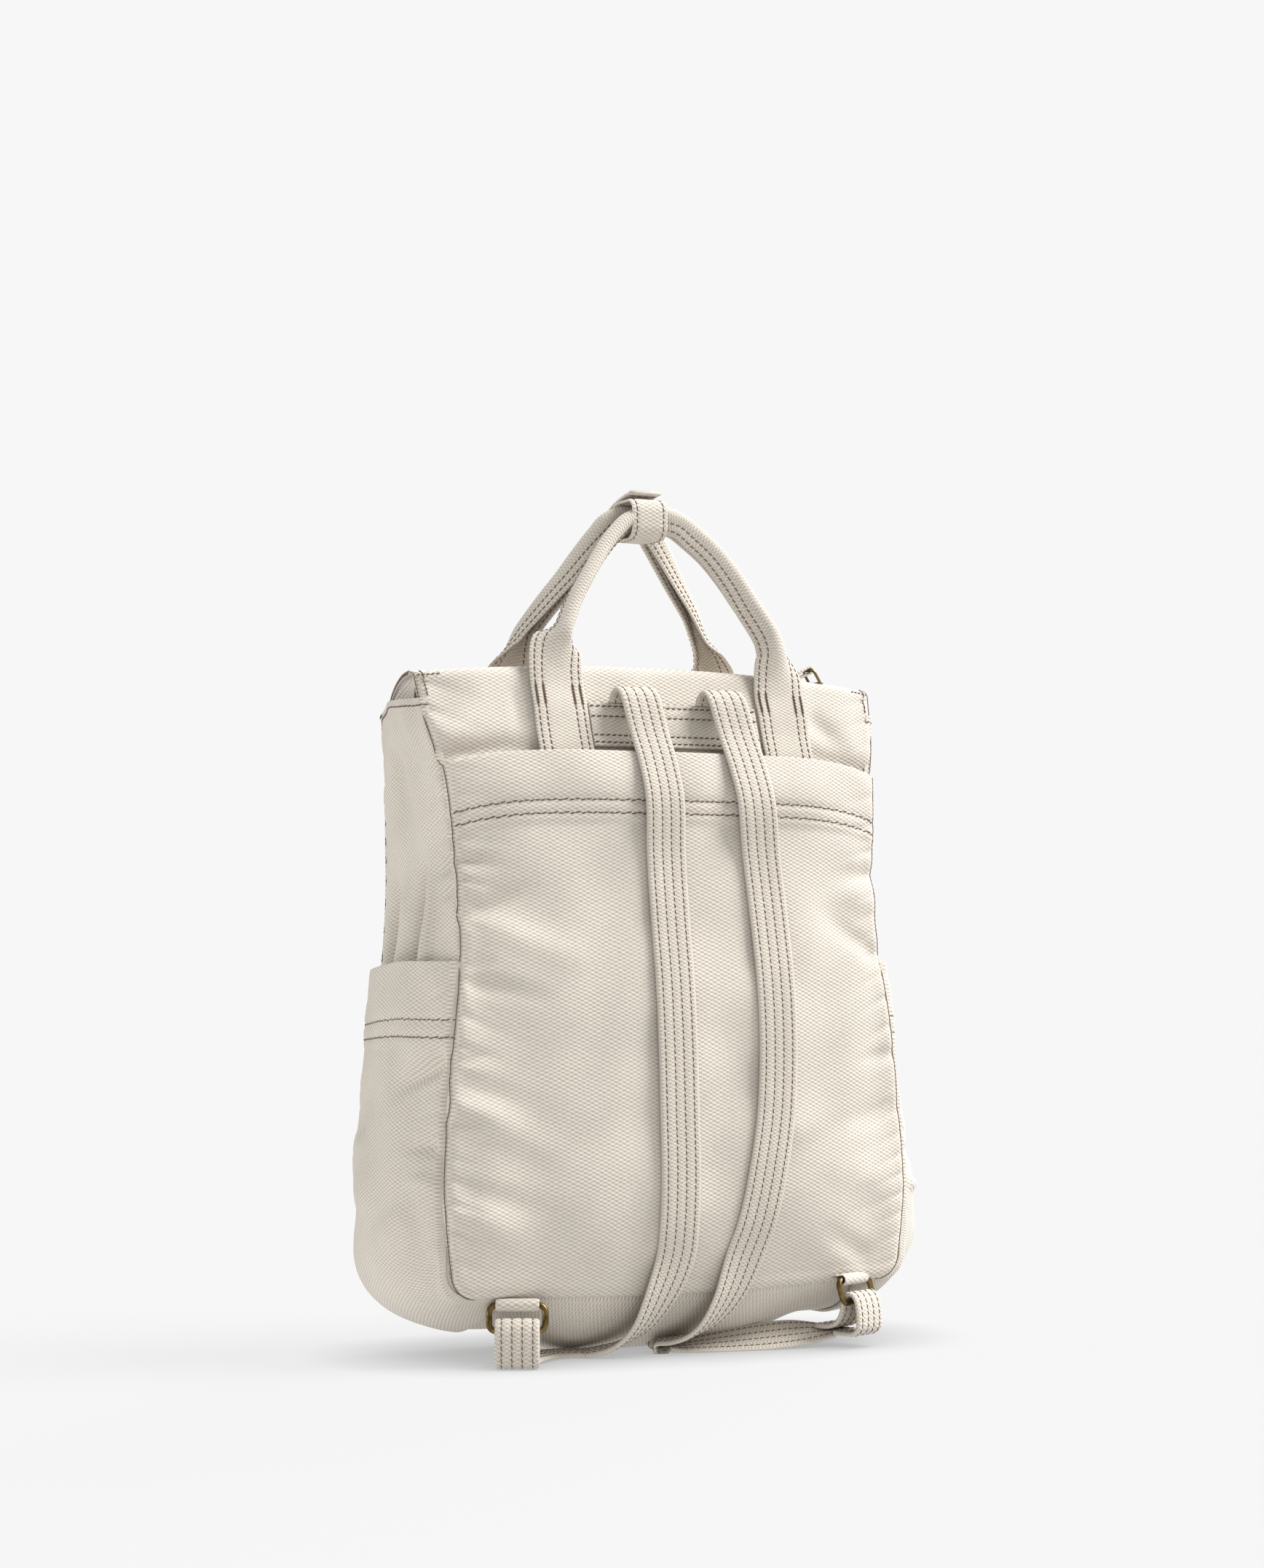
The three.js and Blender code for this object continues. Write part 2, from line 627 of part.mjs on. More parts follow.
function ring(sign) {
  const turn = radians(ringTurn);
  const bar = new THREE.Vector3(Math.cos(turn), sign * Math.sin(turn), 0);
  const top = new THREE.Vector3().copy(besideRing(sign, ringTop.out, ringTop.z));
  const bottom = new THREE.Vector3().copy(besideRing(sign, ringBottom.out, ringBottom.z));
  const middle = top.clone().lerp(bottom, 0.5);
  const upright = top.clone().sub(bottom);
  const height = upright.length();
  upright.normalize();
  const path = roundedPath(ringWidth, height, 4).map(({ x, z }) =>
    middle.clone().addScaledVector(bar, x).addScaledVector(upright, z),
  );
  return wireLoop(path, ringWire);
}

// The tab that holds a ring: a strip folded round the ring's upper bar, both tails in the bottom seam
function ringTab(sign) {
  const reach = ringWire / 2 + gap + tabThickness / 2;
  const tailGap = tabThickness / 2 + gap / 2;
  const tails = [
    { out: -0.6, z: ringTop.z + 1.2 + tailGap },
    { out: 1, z: ringTop.z + 1.2 + tailGap },
  ];
  const round = [];
  for (let angle = 120; angle >= -140; angle -= 26) {
    const out = ringTop.out + reach * Math.cos(radians(angle));
    round.push({ out, z: ringTop.z + reach * Math.sin(radians(angle)) });
  }
  const back = [
    { out: 1, z: ringTop.z + 1.2 - tailGap },
    { out: -0.6, z: ringTop.z + 1.2 - tailGap },
  ];
  const turn = sign * ringTurn;
  const stops = [...tails, ...round, ...back].map(({ out, z }) => ({ ...besideRing(sign, out, z), turn }));
  return ribbon(stops, tabWidth, tabThickness);
}

// Joins two solids that overlap
function toSolid(geometry) {
  const bare = new THREE.BufferGeometry();
  bare.setAttribute("position", geometry.getAttribute("position"));
  bare.setIndex(geometry.index);
  const merged = mergeVertices(bare, 1e-3);
  const vertProperties = merged.getAttribute("position").array;
  const triVerts = new Uint32Array(merged.index.array);
  return new wasm.Manifold(new wasm.Mesh({ numProp: 3, vertProperties, triVerts }));
}
function join(first, second) {
  const mesh = toSolid(first).add(toSolid(second)).getMesh();
  const geometry = new THREE.BufferGeometry();
  geometry.setAttribute("position", new THREE.BufferAttribute(mesh.vertProperties, 3));
  geometry.setIndex(new THREE.BufferAttribute(mesh.triVerts, 1));
  return geometry;
}

// A ring-shaped wrap whose outline lies in the YZ plane, as long as its width along X
function wrap(middle, inside, thickness, width) {
  const outline = (grow) => roundedPath(inside.y + grow, inside.z + grow, inside.radius + grow / 2, 4);
  const outer = outline(2 * thickness);
  const inner = outline(0);
  const loops = outer.map((point, i) => {
    const corner = (p, side) => new THREE.Vector3(side * (width / 2), middle.y + p.x, middle.z + p.z);
    return [corner(point, -1), corner(point, 1), corner(inner[i], 1), corner(inner[i], -1)];
  });
  return loft(loops, true);
}

// The keeper that bundles both handles, with its snapped tail lying over the top
function handleKeeper() {
  const middle = { y: -3.2, z: 460 };
  const inside = { y: 24, z: 19.6, radius: 6 };
  const wrapThickness = 2;
  const band = wrap(middle, inside, wrapThickness, 22);
  const roof = middle.z + inside.z / 2 + wrapThickness;
  const tailStops = [
    { y: -11, z: roof + 3.6 },
    { y: -4, z: roof + 2.4 },
    { y: 4, z: roof + 0.6 },
    { y: 11, z: roof - 1.4 },
    { y: 19, z: roof - 4.6 },
    { y: 25, z: roof - 7.6 },
  ];
  const tail = ribbon(tailStops.map((stop) => ({ x: 0, turn: 0, ...stop })), 20, 2.2, 2);
  return join(band, tail);
}

// A strip of the zip along the top, its width across the mouth
function zipStrip(y, drop, width, thickness) {
  const stops = [];
  for (let k = 0; k <= 10; k += 1) {
    const x = mix(-zipHalf, zipHalf, k / 10);
    stops.push({ x, y, z: rowHeight(topCorner, x / section("half", topCorner)) - drop, turn: 90 });
  }
  return ribbon(stops, width, thickness);
}

const zipLine = -11; // the coil runs over the mouth at this depth
const coilWidth = 3.2;
const coilHeight = 2.2;
const coilDrop = 2.2;
const zipTop = rowHeight(topCorner, sliderPlace / section("half", topCorner)) - coilDrop + coilHeight / 2;

// The slider: a low body on the coil with a bridge for the pull
function zipSlider() {
  const body = new THREE.Shape();
  body.moveTo(-6, 0);
  body.lineTo(6, 0);
  body.lineTo(5, 2.4);
  body.lineTo(3.6, 2.4);
  body.absarc(0, 2.6, 3.6, 0, Math.PI, false);
  body.lineTo(-5, 2.4);
  const eye = new THREE.Path();
  eye.absarc(0, 3.4, 1.7, 0, 2 * Math.PI, true);
  body.holes.push(eye);
  const geometry = new THREE.ExtrudeGeometry(body, { depth: 6, bevelEnabled: false, curveSegments: 8 });
  geometry.translate(0, 0, -3);
  geometry.rotateX(Math.PI / 2);
  return geometry.translate(sliderPlace, zipLine, zipTop + gap);
}

// The pull: a wire loop through the slider's bridge, leaning to the middle, with a canvas tab on it
const pullLean = radians(32);
const pullUp = new THREE.Vector3(-Math.sin(pullLean), 0, Math.cos(pullLean));
const pullFoot = new THREE.Vector3(sliderPlace, zipLine, zipTop + gap + 3.3);
const pullSize = { width: 12, height: 11, radius: 2.6, wire: 1.6 };
function zipPull() {
  const middle = pullFoot.clone().addScaledVector(pullUp, pullSize.height / 2);
  const path = roundedPath(pullSize.width, pullSize.height, pullSize.radius).map(({ x, z }) =>
    middle.clone().addScaledVector(pullUp, z).add(new THREE.Vector3(0, x, 0)),
  );
  return wireLoop(path, pullSize.wire);
}
function zipPullTab() {
  const bar = pullFoot.clone().addScaledVector(pullUp, pullSize.height);
  const thickness = 1.2;
  const reach = pullSize.wire / 2 + 0.3 + thickness / 2;
  const place = (angle) => ({
    x: bar.x + reach * Math.cos(radians(angle)),
    y: bar.y,
    z: bar.z + reach * Math.sin(radians(angle)),
    turn: 90,
  });
  const far = { x: bar.x - 15, y: bar.y, turn: 90 };
  const stops = [{ ...far, z: bar.z - 6.4 }];
  for (let angle = 115; angle >= -65; angle -= 30) stops.push(place(angle));
  stops.push({ ...far, z: bar.z - 8.2 });
  return ribbon(stops, 6, thickness);
}

add("back_panel", backPanel(), canvas);
add("back_pocket", backPocket(), canvas);
add("front_panel", frontPanel(), canvas);
add("gusset", gusset(), canvas);
add("side_pocket_left", sidePocket(-1), canvas);
add("side_pocket_right", sidePocket(1), canvas);
add("strap_band", strapBand(), webbing);
for (const side of ["left", "right"]) {
  const sign = side === "left" ? -1 : 1;
  add(`strap_${side}`, strap(side), webbing);
  add(`ring_${side}`, ring(sign), brass);
  add(`ring_tab_${side}`, ringTab(sign), canvas);
}
add("handle_back", handle("back"), webbing);
add("handle_front", handle("front"), webbing);
add("handle_keeper", handleKeeper(), canvas);
add("zip_tape_back", zipStrip(-15.8, 2.6, 5.4, 1), zipCloth);
add("zip_tape_front", zipStrip(-4.6, 2.9, 8.8, 1), zipCloth);
add("zip_coil", zipStrip(zipLine, coilDrop, coilWidth, coilHeight), brass);
add("zip_slider", zipSlider(), brass);
add("zip_pull", zipPull(), brass);
add("zip_pull_tab", zipPullTab(), canvas);

export default backpack;
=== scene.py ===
# Cotton canvas backpack with brown topstitching, standing with its harness side to the camera.
# Lengths are millimetres until a mesh is made; left and right are as seen from the harness side.
import math
import bpy
import numpy as np
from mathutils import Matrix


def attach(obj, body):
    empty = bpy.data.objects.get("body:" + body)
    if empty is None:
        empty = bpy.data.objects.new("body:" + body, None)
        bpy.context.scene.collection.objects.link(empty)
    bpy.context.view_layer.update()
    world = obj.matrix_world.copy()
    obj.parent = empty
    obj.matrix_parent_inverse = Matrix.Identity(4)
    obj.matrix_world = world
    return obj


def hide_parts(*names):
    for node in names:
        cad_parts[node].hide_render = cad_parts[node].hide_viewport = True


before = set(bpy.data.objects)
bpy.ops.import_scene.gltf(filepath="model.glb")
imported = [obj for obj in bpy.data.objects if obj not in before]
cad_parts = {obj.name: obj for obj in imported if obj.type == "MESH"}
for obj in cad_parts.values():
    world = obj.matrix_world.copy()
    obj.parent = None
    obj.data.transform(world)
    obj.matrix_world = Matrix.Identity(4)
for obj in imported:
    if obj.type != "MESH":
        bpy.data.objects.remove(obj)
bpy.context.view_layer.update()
mm = 0.001
print("frame loaded:", len(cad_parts), "nodes")


# Numbers and tables

# 0 below low, 1 above high, 3t^2 - 2t^3 between them
def smoothStep(value, low, high):
    t = np.clip((value - low) / (high - low), 0, 1)
    return t * t * (3 - 2 * t)


# Cubic through a table's rows; the slope at a row is that of the line between its neighbours
def lookUp(table, column, at, key="z"):
    knots = np.array(table[key], float)
    values = np.array(table[column], float)
    slopes = np.gradient(values, knots, edge_order=1)
    slopes[1:-1] = (values[2:] - values[:-2]) / (knots[2:] - knots[:-2])
    at = np.clip(at, knots[0], knots[-1])
    i = np.clip(np.searchsorted(knots, at, side="right") - 1, 0, len(knots) - 2)
    length = knots[i + 1] - knots[i]
    t = (at - knots[i]) / length
    rise = values[i + 1] - values[i]
    bend = (slopes[i] * length - rise) * (1 - t) - (slopes[i + 1] * length - rise) * t
    return values[i] + rise * t + t * (1 - t) * bend


# Vectors at length one
def unit(vectors):
    return vectors / np.maximum(np.linalg.norm(vectors, axis=-1, keepdims=True), 1e-9)


# Distance run along a row of points, from zero
def runLength(points):
    steps = np.linalg.norm(np.diff(points, axis=0), axis=-1)
    return np.concatenate([[0], np.cumsum(steps)])


# Shares of a crease's length over which it comes in and fades out
creaseEnds = dict(comes=(-0.2, 0.1), fades=(0.25, 1.1))


# Sum of creases on a cloth: each is a straight line of dent, a bell across its width, that fades
# out along its length from its first end to its second
def creaseDepth(table, a, z):
    total = np.zeros(np.broadcast(a, z).shape)
    for a0, z0, a1, z1, wide, depth in zip(*table.values()):
        length = math.hypot(a1 - a0, z1 - z0)
        along = ((a - a0) * (a1 - a0) + (z - z0) * (z1 - z0)) / length**2
        across = ((z - z0) * (a1 - a0) - (a - a0) * (z1 - z0)) / length
        fade = smoothStep(along, *creaseEnds["comes"]) * (1 - smoothStep(along, *creaseEnds["fades"]))
        total += depth * fade * np.exp(-((across / wide) ** 2))
    return total


# Soft unevenness of slack cloth: a sum of waves of seeded headings, phases and lengths
def ripples(a, b, seed, shortest, longest, height, count=14):
    draw = np.random.default_rng(seed)
    total = np.zeros(np.broadcast(a, b).shape)
    for heading, phase, share in draw.random((count, 3)):
        rate = 2 * math.pi / (shortest * (longest / shortest) ** share)
        along = a * math.cos(heading * math.pi) + b * math.sin(heading * math.pi)
        total += np.sin(rate * along + phase * 2 * math.pi)
    return total * height * math.sqrt(2 / count)


# Meshes

insideBag = np.array([0, 0, 200])  # every panel faces away from this point


# The four corners of each cell of a grid of numbers
def gridQuads(index):
    return np.stack([index[:-1, :-1], index[:-1, 1:], index[1:, 1:], index[1:, :-1]], -1).reshape(-1, 4)


# A mesh from a grid of points. "loop" closes each row on itself, "ring" closes the rows, and "lids"
# shuts both ends of a tube. The UV map holds lengths along the cloth.
def makePiece(name, points, uv, finish, loop=False, ring=False, lids=False):
    rows, cols = points.shape[:2]
    index = np.arange(rows * cols).reshape(rows, cols)
    if loop:
        index = np.concatenate([index, index[:, :1]], axis=1)
    if ring:
        index = np.concatenate([index, index[:1]], axis=0)
    quads = gridQuads(index)
    cells = np.arange(uv.shape[0] * uv.shape[1]).reshape(uv.shape[:2])
    corners = gridQuads(cells)
    flat = points.reshape(-1, 3)
    middles = flat[quads].mean(axis=1)
    normals = np.cross(flat[quads[:, 2]] - flat[quads[:, 0]], flat[quads[:, 3]] - flat[quads[:, 1]])
    centre = flat.mean(axis=0) if loop else insideBag
    flipped = np.sum(normals * (middles - centre)) < 0
    faces = quads.tolist()
    cellFaces = corners.tolist()
    if lids:
        for row, step in ((0, -1), (rows - 1, 1)):
            faces.append(index[row, :cols][::step].tolist())
            cellFaces.append(cells[row, :cols][::step].tolist())
    if flipped:
        faces = [face[::-1] for face in faces]
        cellFaces = [face[::-1] for face in cellFaces]
    return meshPiece(name, flat, faces, uv.reshape(-1, 2)[np.concatenate(cellFaces)], finish)


# A smooth mesh object from points, faces and the place of each face's corners on the cloth
def meshPiece(name, points, faces, loopUv, finish):
    mesh = bpy.data.meshes.new(name)
    mesh.from_pydata((points * mm).tolist(), [], faces)
    if loopUv is not None:
        layer = mesh.uv_layers.new(name="cloth")
        layer.data.foreach_set("uv", np.ascontiguousarray(loopUv, float).ravel())
    mesh.polygons.foreach_set("use_smooth", np.ones(len(faces), bool))
    mesh.materials.append(finish)
    piece = bpy.data.objects.new(name, mesh)
    bpy.context.collection.objects.link(piece)
    return piece


# Gives a sheet its thickness, inwards, and rounds its cut edges
def thicken(piece, thickness, rounding=0.6):
    wall = piece.modifiers.new("wall", "SOLIDIFY")
    wall.thickness = thickness * mm
    wall.offset = -1
    wall.use_even_offset = True
    edge = piece.modifiers.new("edge", "BEVEL")
    edge.width = rounding * mm
    edge.segments = 3
    edge.limit_method = "ANGLE"
    edge.angle_limit = math.radians(60)
    return piece


# Every piece rides on the one body and stands for its solids, which are hidden; the slot is not used
def seat(piece, slot, *nodes):
    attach(piece, "root")
    if nodes:
        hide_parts(*nodes)
    return piece


# Finishes

# An sRGB hex colour as linear light
def linear(hexColour):
    parts = np.array([int(hexColour[k : k + 2], 16) for k in (1, 3, 5)]) / 255
    light = np.where(parts <= 0.04045, parts / 12.92, ((parts + 0.055) / 1.055) ** 2.4)
    return (*light.tolist(), 1.0)


# Adds a node with its settings; an input is a value or another node's output
def addNode(tree, kind, settings={}, inputs={}):
    node = tree.nodes.new(kind)
    for name, value in settings.items():
        setattr(node, name, value)
    for socket, value in inputs.items():
        if isinstance(value, bpy.types.NodeSocket):
            tree.links.new(value, node.inputs[socket])
        else:
            node.inputs[socket].default_value = value
    return node


# A new material with its node tree and shader
def newFinish(name):
    finish = bpy.data.materials.new(name)
    finish.use_nodes = True
    return finish, finish.node_tree, finish.node_tree.nodes["Principled BSDF"]


cotton = dict(slubLength=9.0, slubShift=1.1, cloudFrom=(0.3, 0.7), cloudTone=(0.93, 1.05), fleck=1.6,
              fleckFrom=(0.25, 0.75), fleckTone=(0.95, 1.05), fuzz=0.35, bump=0.7,
              roughness=0.92, gloss=0.2, sheen=0.12, sheenRoughness=0.6)


# Woven cotton: fat warp ends and finer weft cross in a plain weave, so pale dots stand in offset
# columns with painted shade in the gaps between them, on cloth that is matt, a little fuzzy and unevenly
# bleached.
# The height is cos(pi x / warp) * cos(pi y / weft) on the cloth's own map; it mixes the painted gap shade
# into the thread colour.
def wovenCotton(name, warp, weft, threads, gapShade, mottle, relief):
    finish, tree, shader = newFinish(name)
    place = addNode(tree, "ShaderNodeUVMap", {"uv_map": "cloth"})
    wander = addNode(tree, "ShaderNodeTexNoise", {"noise_dimensions": "2D"},
                     {"Vector": place.outputs[0], "Scale": 1 / cotton["slubLength"], "Detail": 3.0})
    slub = addNode(tree, "ShaderNodeVectorMath", {"operation": "MULTIPLY_ADD"},
                   {0: wander.outputs["Color"], 1: (cotton["slubShift"], cotton["slubShift"], 0),
                    2: place.outputs[0]})
    split = addNode(tree, "ShaderNodeSeparateXYZ", {}, {0: slub.outputs[0]})
    waves = []
    for axis, spacing in ((0, warp), (1, weft)):
        turn = addNode(tree, "ShaderNodeMath", {"operation": "MULTIPLY"},
                       {0: split.outputs[axis], 1: math.pi / spacing})
        waves.append(addNode(tree, "ShaderNodeMath", {"operation": "COSINE"}, {0: turn.outputs[0]}))
    cross = addNode(tree, "ShaderNodeMath", {"operation": "MULTIPLY"},
                    {0: waves[0].outputs[0], 1: waves[1].outputs[0]})
    height = addNode(tree, "ShaderNodeMapRange", {}, {0: cross.outputs[0], 1: -1.0, 2: 1.0})
    body = addNode(tree, "ShaderNodeTexCoord")
    cloud = addNode(tree, "ShaderNodeTexNoise", {},
                    {"Vector": body.outputs["Object"], "Scale": 1 / (mottle * mm), "Detail": 4.0})
    yarn = addNode(tree, "ShaderNodeTexNoise", {},
                   {"Vector": body.outputs["Object"], "Scale": 1 / (cotton["fleck"] * mm), "Detail": 2.0})
    # Painted shade: the darker gap colour where the weave's height is low, the thread colour where it is
    # high
    weave = addNode(tree, "ShaderNodeMix", {"data_type": "RGBA"},
                    {0: height.outputs[0], 6: linear(gapShade), 7: linear(threads)})
    shades = []
    for noise, kind in ((cloud, "cloud"), (yarn, "fleck")):
        low, high = cotton[kind + "From"]
        dark, pale = cotton[kind + "Tone"]
        shades.append(addNode(tree, "ShaderNodeMapRange", {},
                              {0: noise.outputs[0], 1: low, 2: high, 3: dark, 4: pale}))
    tone = addNode(tree, "ShaderNodeMath", {"operation": "MULTIPLY"},
                   {0: shades[0].outputs[0], 1: shades[1].outputs[0]})
    tinted = addNode(tree, "ShaderNodeVectorMath", {"operation": "SCALE"},
                     {0: weave.outputs[2], "Scale": tone.outputs[0]})
    fuzz = addNode(tree, "ShaderNodeMath", {"operation": "MULTIPLY_ADD"},
                   {0: yarn.outputs[0], 1: cotton["fuzz"], 2: height.outputs[0]})
    bump = addNode(tree, "ShaderNodeBump", {},
                   {"Strength": cotton["bump"], "Distance": relief * mm, "Height": fuzz.outputs[0]})
    tree.links.new(tinted.outputs[0], shader.inputs["Base Color"])
    tree.links.new(bump.outputs[0], shader.inputs["Normal"])
    shader.inputs["Roughness"].default_value = cotton["roughness"]
    shader.inputs["Specular IOR Level"].default_value = cotton["gloss"]
    shader.inputs["Sheen Weight"].default_value = cotton["sheen"]
    shader.inputs["Sheen Roughness"].default_value = cotton["sheenRoughness"]
    return finish


# The real cloth repeats every 1.9 by 0.9 mm; it is drawn a fifth coarser so that it shows
# The second colour of each weave is painted shade for the gaps between its threads
canvas = wovenCotton("duckCanvas", 2.25, 1.08, "#D4CDC3", "#AAA194", 60, 0.4)
webbing = wovenCotton("foldedCanvasStrap", 2.0, 1.0, "#D0C9BE", "#A89F92", 45, 0.35)
zipCloth = wovenCotton("zipTapeTwill", 1.2, 0.8, "#D6CCB9", "#B5A990", 40, 0.2)
print("finishes made")

# The bag's walls

sides = dict(left=-1, right=1)
edgeColumn = dict(left=0, right=-1)
bag = dict(
    cloth=1.8, gap=0.4, columns=131, panelPower=2.6, seamRoll=4.5,
    cornerRadius=14, cornerHeight=50, roundRadius=42, bottomSag=3, sagTo=110,
    floorHalf=46, floorLift=14.5, floorBack=0.5, backCurve=2.2, floorFront=0.83, frontCurve=2,
    topHem=347, hemRise=7, hemFrom=318, topCorner=369, topCrown=7, crownFrom=325, topRoll=5,
    cornerLean=4, leanFrom=330, leanShare=0.75,
)

# Sections from the bottom seam up: half width, depth of the back and front seams, and how far
# each face swells past its seams
body = dict(
    z=[30, 36, 66, 90, 140, 180, 213, 250, 286, 316, 343, 370],
    half=[133.5, 134, 138, 140, 137, 133, 129, 128, 130, 133, 139, 142],
    back=[55.5, 55.5, 55.5, 55, 54, 54, 51, 44, 39, 34, 26, 20.5],
    front=[50, 54, 61.5, 65, 66, 66, 64.5, 61.5, 57.5, 50.5, 41, 30],
    backOut=[0, 0, 11, 15, 15, 13.5, 13.5, 15, 14.5, 12, 8, 1.5],
    frontOut=[0, 0, 9, 13, 16, 17, 17, 16, 14, 11, 7, 3],
    leftOut=[15, 15, 15.5, 16, 13.5, 11, 8, 5.5, 6.5, 7.5, 6, 6],
    rightOut=[22, 23, 26.5, 26, 16, 11, 8.5, 5.5, 5, 6, 5, 5],
)


# One column of the body's sections at a height
def section(column, z):
    return lookUp(body, column, z)


cornerHalf = float(section("half", bag["cornerHeight"])) - bag["cornerRadius"]
seamFoot = bag["cornerHeight"] - bag["cornerRadius"]
roundHeight = seamFoot + bag["roundRadius"]
roundHalf = float(section("half", roundHeight)) - bag["roundRadius"]


# A panel's side seam from the bottom up: a quarter circle, then the half width at each height
def seamLine(top, spacing=2.0):
    radius = bag["cornerRadius"]
    share = np.linspace(0, 1, round(radius * math.pi / 2 / spacing), endpoint=False)
    arc = np.arcsin(1 - share**1.5)
    heights = np.linspace(bag["cornerHeight"], top, round((top - bag["cornerHeight"]) / spacing))
    x = np.concatenate([cornerHalf + radius * np.cos(arc), section("half", heights)])
    z = np.concatenate([bag["cornerHeight"] - radius * np.sin(arc), heights])
    return x, z, np.concatenate([arc, 0 * heights])


# The gusset's own line up a side, round the wide bottom corner that its middle follows
def gussetLine(top, spacing=2.0):
    radius = bag["roundRadius"]
    arc = np.linspace(math.pi / 2, 0, round(radius * math.pi / 2 / spacing), endpoint=False)
    heights = np.linspace(roundHeight, top, round((top - roundHeight) / spacing))
    x = np.concatenate([roundHalf + radius * np.cos(arc), section("half", heights)])
    z = np.concatenate([roundHeight - radius * np.sin(arc), heights])
    return x, z, np.concatenate([arc, 0 * heights])


# How far the panel's tight corner stands out from the gusset's wide one along a heading: a ray from the
# wide corner's centre meets either a straight seam or the tight corner's circle
def cornerReach(angle):
    wide, tight = bag["roundRadius"], bag["cornerRadius"]
    both = np.cos(angle) + np.sin(angle)
    inner = wide - tight
    circle = inner * both + np.sqrt(np.maximum((inner * both) ** 2 - 2 * inner**2 + tight**2, 0))
    straight = wide / np.maximum(np.cos(angle), np.sin(angle))
    slope = np.minimum(np.cos(angle), np.sin(angle)) / np.maximum(np.cos(angle), np.sin(angle))
    return np.where(slope > inner / wide, circle, straight) - wide


# Rows sag to the bottom seam and crown at the top edge
def rowHeight(z, u):
    sag = bag["bottomSag"] * (1 - smoothStep(z, seamFoot, bag["sagTo"]))
    crown = bag["topCrown"] * smoothStep(z, bag["crownFrom"], bag["topCorner"])
    return z + crown * (1 - u**2) - sag * (1 - np.minimum((u * cornerHalf / roundHalf) ** 2, 1))


# Distance of a place on a panel from the panel's seam, round the bottom corners too
def seamInset(x, z):
    beside = section("half", z) - np.abs(x)
    corner = np.hypot(np.maximum(np.abs(x) - cornerHalf, 0), bag["cornerHeight"] - z)
    return np.maximum(np.where(z < bag["cornerHeight"], bag["cornerRadius"] - corner, beside), 0)


# How far a cloth's edge rolls down into its seam, from the distance to that seam: a quarter circle
def edgeRoll(inset, radius):
    t = np.clip(1 - inset / radius, 0, 1)
    return radius * (1 - np.sqrt(1 - t**2))


# Creases of the back: start and end across and up, half width, depth (a negative one stands proud)
backCreases = dict(
    x0=[-128, -128, -129, -118, -130, -125, -134, -137, -134, -138, -137, -130, -86, -132, -132,
        130, 131, 128, 134, 136, 112, 96, 130, 60, 122, -106, -104, 112],
    z0=[265, 248, 236, 233, 211, 203, 160, 141, 149, 128, 85, 92, 356, 323, 334,
        262, 247, 214, 162, 132, 49, 347, 318, 120, 90, 236, 120, 250],
    x1=[-104, -116, -88, -55, -108, -80, -110, -64, -92, -112, -88, -76, -86, -84, -98,
        92, 84, 84, 104, 70, 78, 122, 88, 105, 60, -108, -104, 118],
    z1=[262, 246, 252, 210, 212, 192, 165, 102, 137, 126, 61, 80, 328, 328, 352,
        256, 250, 240, 157, 118, 70, 330, 326, 128, 108, 70, 240, 60],
    wide=[3.5, 3, 4.5, 9, 3.5, 5, 4, 10, 6, 4, 10, 7, 4, 5, 8, 5, 8, 6, 4, 7, 6, 6, 5, 9, 10, 24, 24, 26],
    depth=[2.2, 1.2, 3.4, -2.4, 1.6, 2.4, 2.2, -2.8, 2.2, 1.8, -2.2, 1.8, 1.6, 2.2, -2, 2.2, -2, 2.6, 1.6,
           1.8, 2, 2.4, 1.6, -1.2, -1.2, 1.8, 1.2, 2.4],
)

pucker = dict(pitch=2.1, wander=2.6, wanderPitch=23, slant=6, least=0.3, swell=29, start=3)


# Short puckers that a seam draws into its cloth: a sine along the seam, about 13 mm from pucker to
# pucker, of uneven strength and slanting, which dies away from the seam
def seamPuckers(inset, along, reach, phase):
    wander = pucker["wander"] * np.sin(along / pucker["wanderPitch"] + phase)
    wave = np.sin(along / pucker["pitch"] + wander + inset / pucker["slant"])
    strength = pucker["least"] + (1 - pucker["least"]) * np.sin(along / pucker["swell"] + 2 * phase) ** 2
    strength = strength * np.exp(-inset / reach) * smoothStep(inset, 0, pucker["start"])
    return np.clip(wave, 0, 1) ** 2 * strength


backFolds = dict(crease=1.1, pucker=2.5, reach=10, phase=(1.0, 2.3), slack=0.55, waves=(26, 75), calm=18,
                 seed=3)


# All that moves the back's face inwards: creases, puckers beside the seams and a slow unevenness
def backDents(x, z):
    inset = seamInset(x, z)
    phase = np.where(x < 0, *backFolds["phase"])
    puckers = backFolds["pucker"] * seamPuckers(inset, z, backFolds["reach"], phase)
    slack = ripples(x, z, backFolds["seed"], *backFolds["waves"], backFolds["slack"])
    slack = slack * smoothStep(inset, 0, backFolds["calm"])
    return backFolds["crease"] * creaseDepth(backCreases, x, z) + puckers + slack


# A layer that lies on the back: share of the half width u, half width and height of the row
def backLayer(u, half, z, offset):
    x = u * half
    swell = section("backOut", z) * (1 - np.abs(u) ** bag["panelPower"])
    y = -section("back", z) - swell + backDents(x, z)
    y = y + edgeRoll(seamInset(x, z), bag["seamRoll"]) + edgeRoll(bag["topCorner"] - z, bag["topRoll"])
    lean = smoothStep(np.abs(u), bag["leanShare"], 1) * smoothStep(z, bag["leanFrom"], bag["topCorner"])
    y = y + bag["cornerLean"] * lean
    return np.stack(np.broadcast_arrays(x, y - offset, rowHeight(z, u)), -1)


# Columns of a panel, closer together beside the seams: even ones mixed with a sine
def panelColumns(count, crowding=0.25):
    t = np.linspace(-1, 1, count)
    return (1 - crowding) * t + crowding * np.sin(t * math.pi / 2)


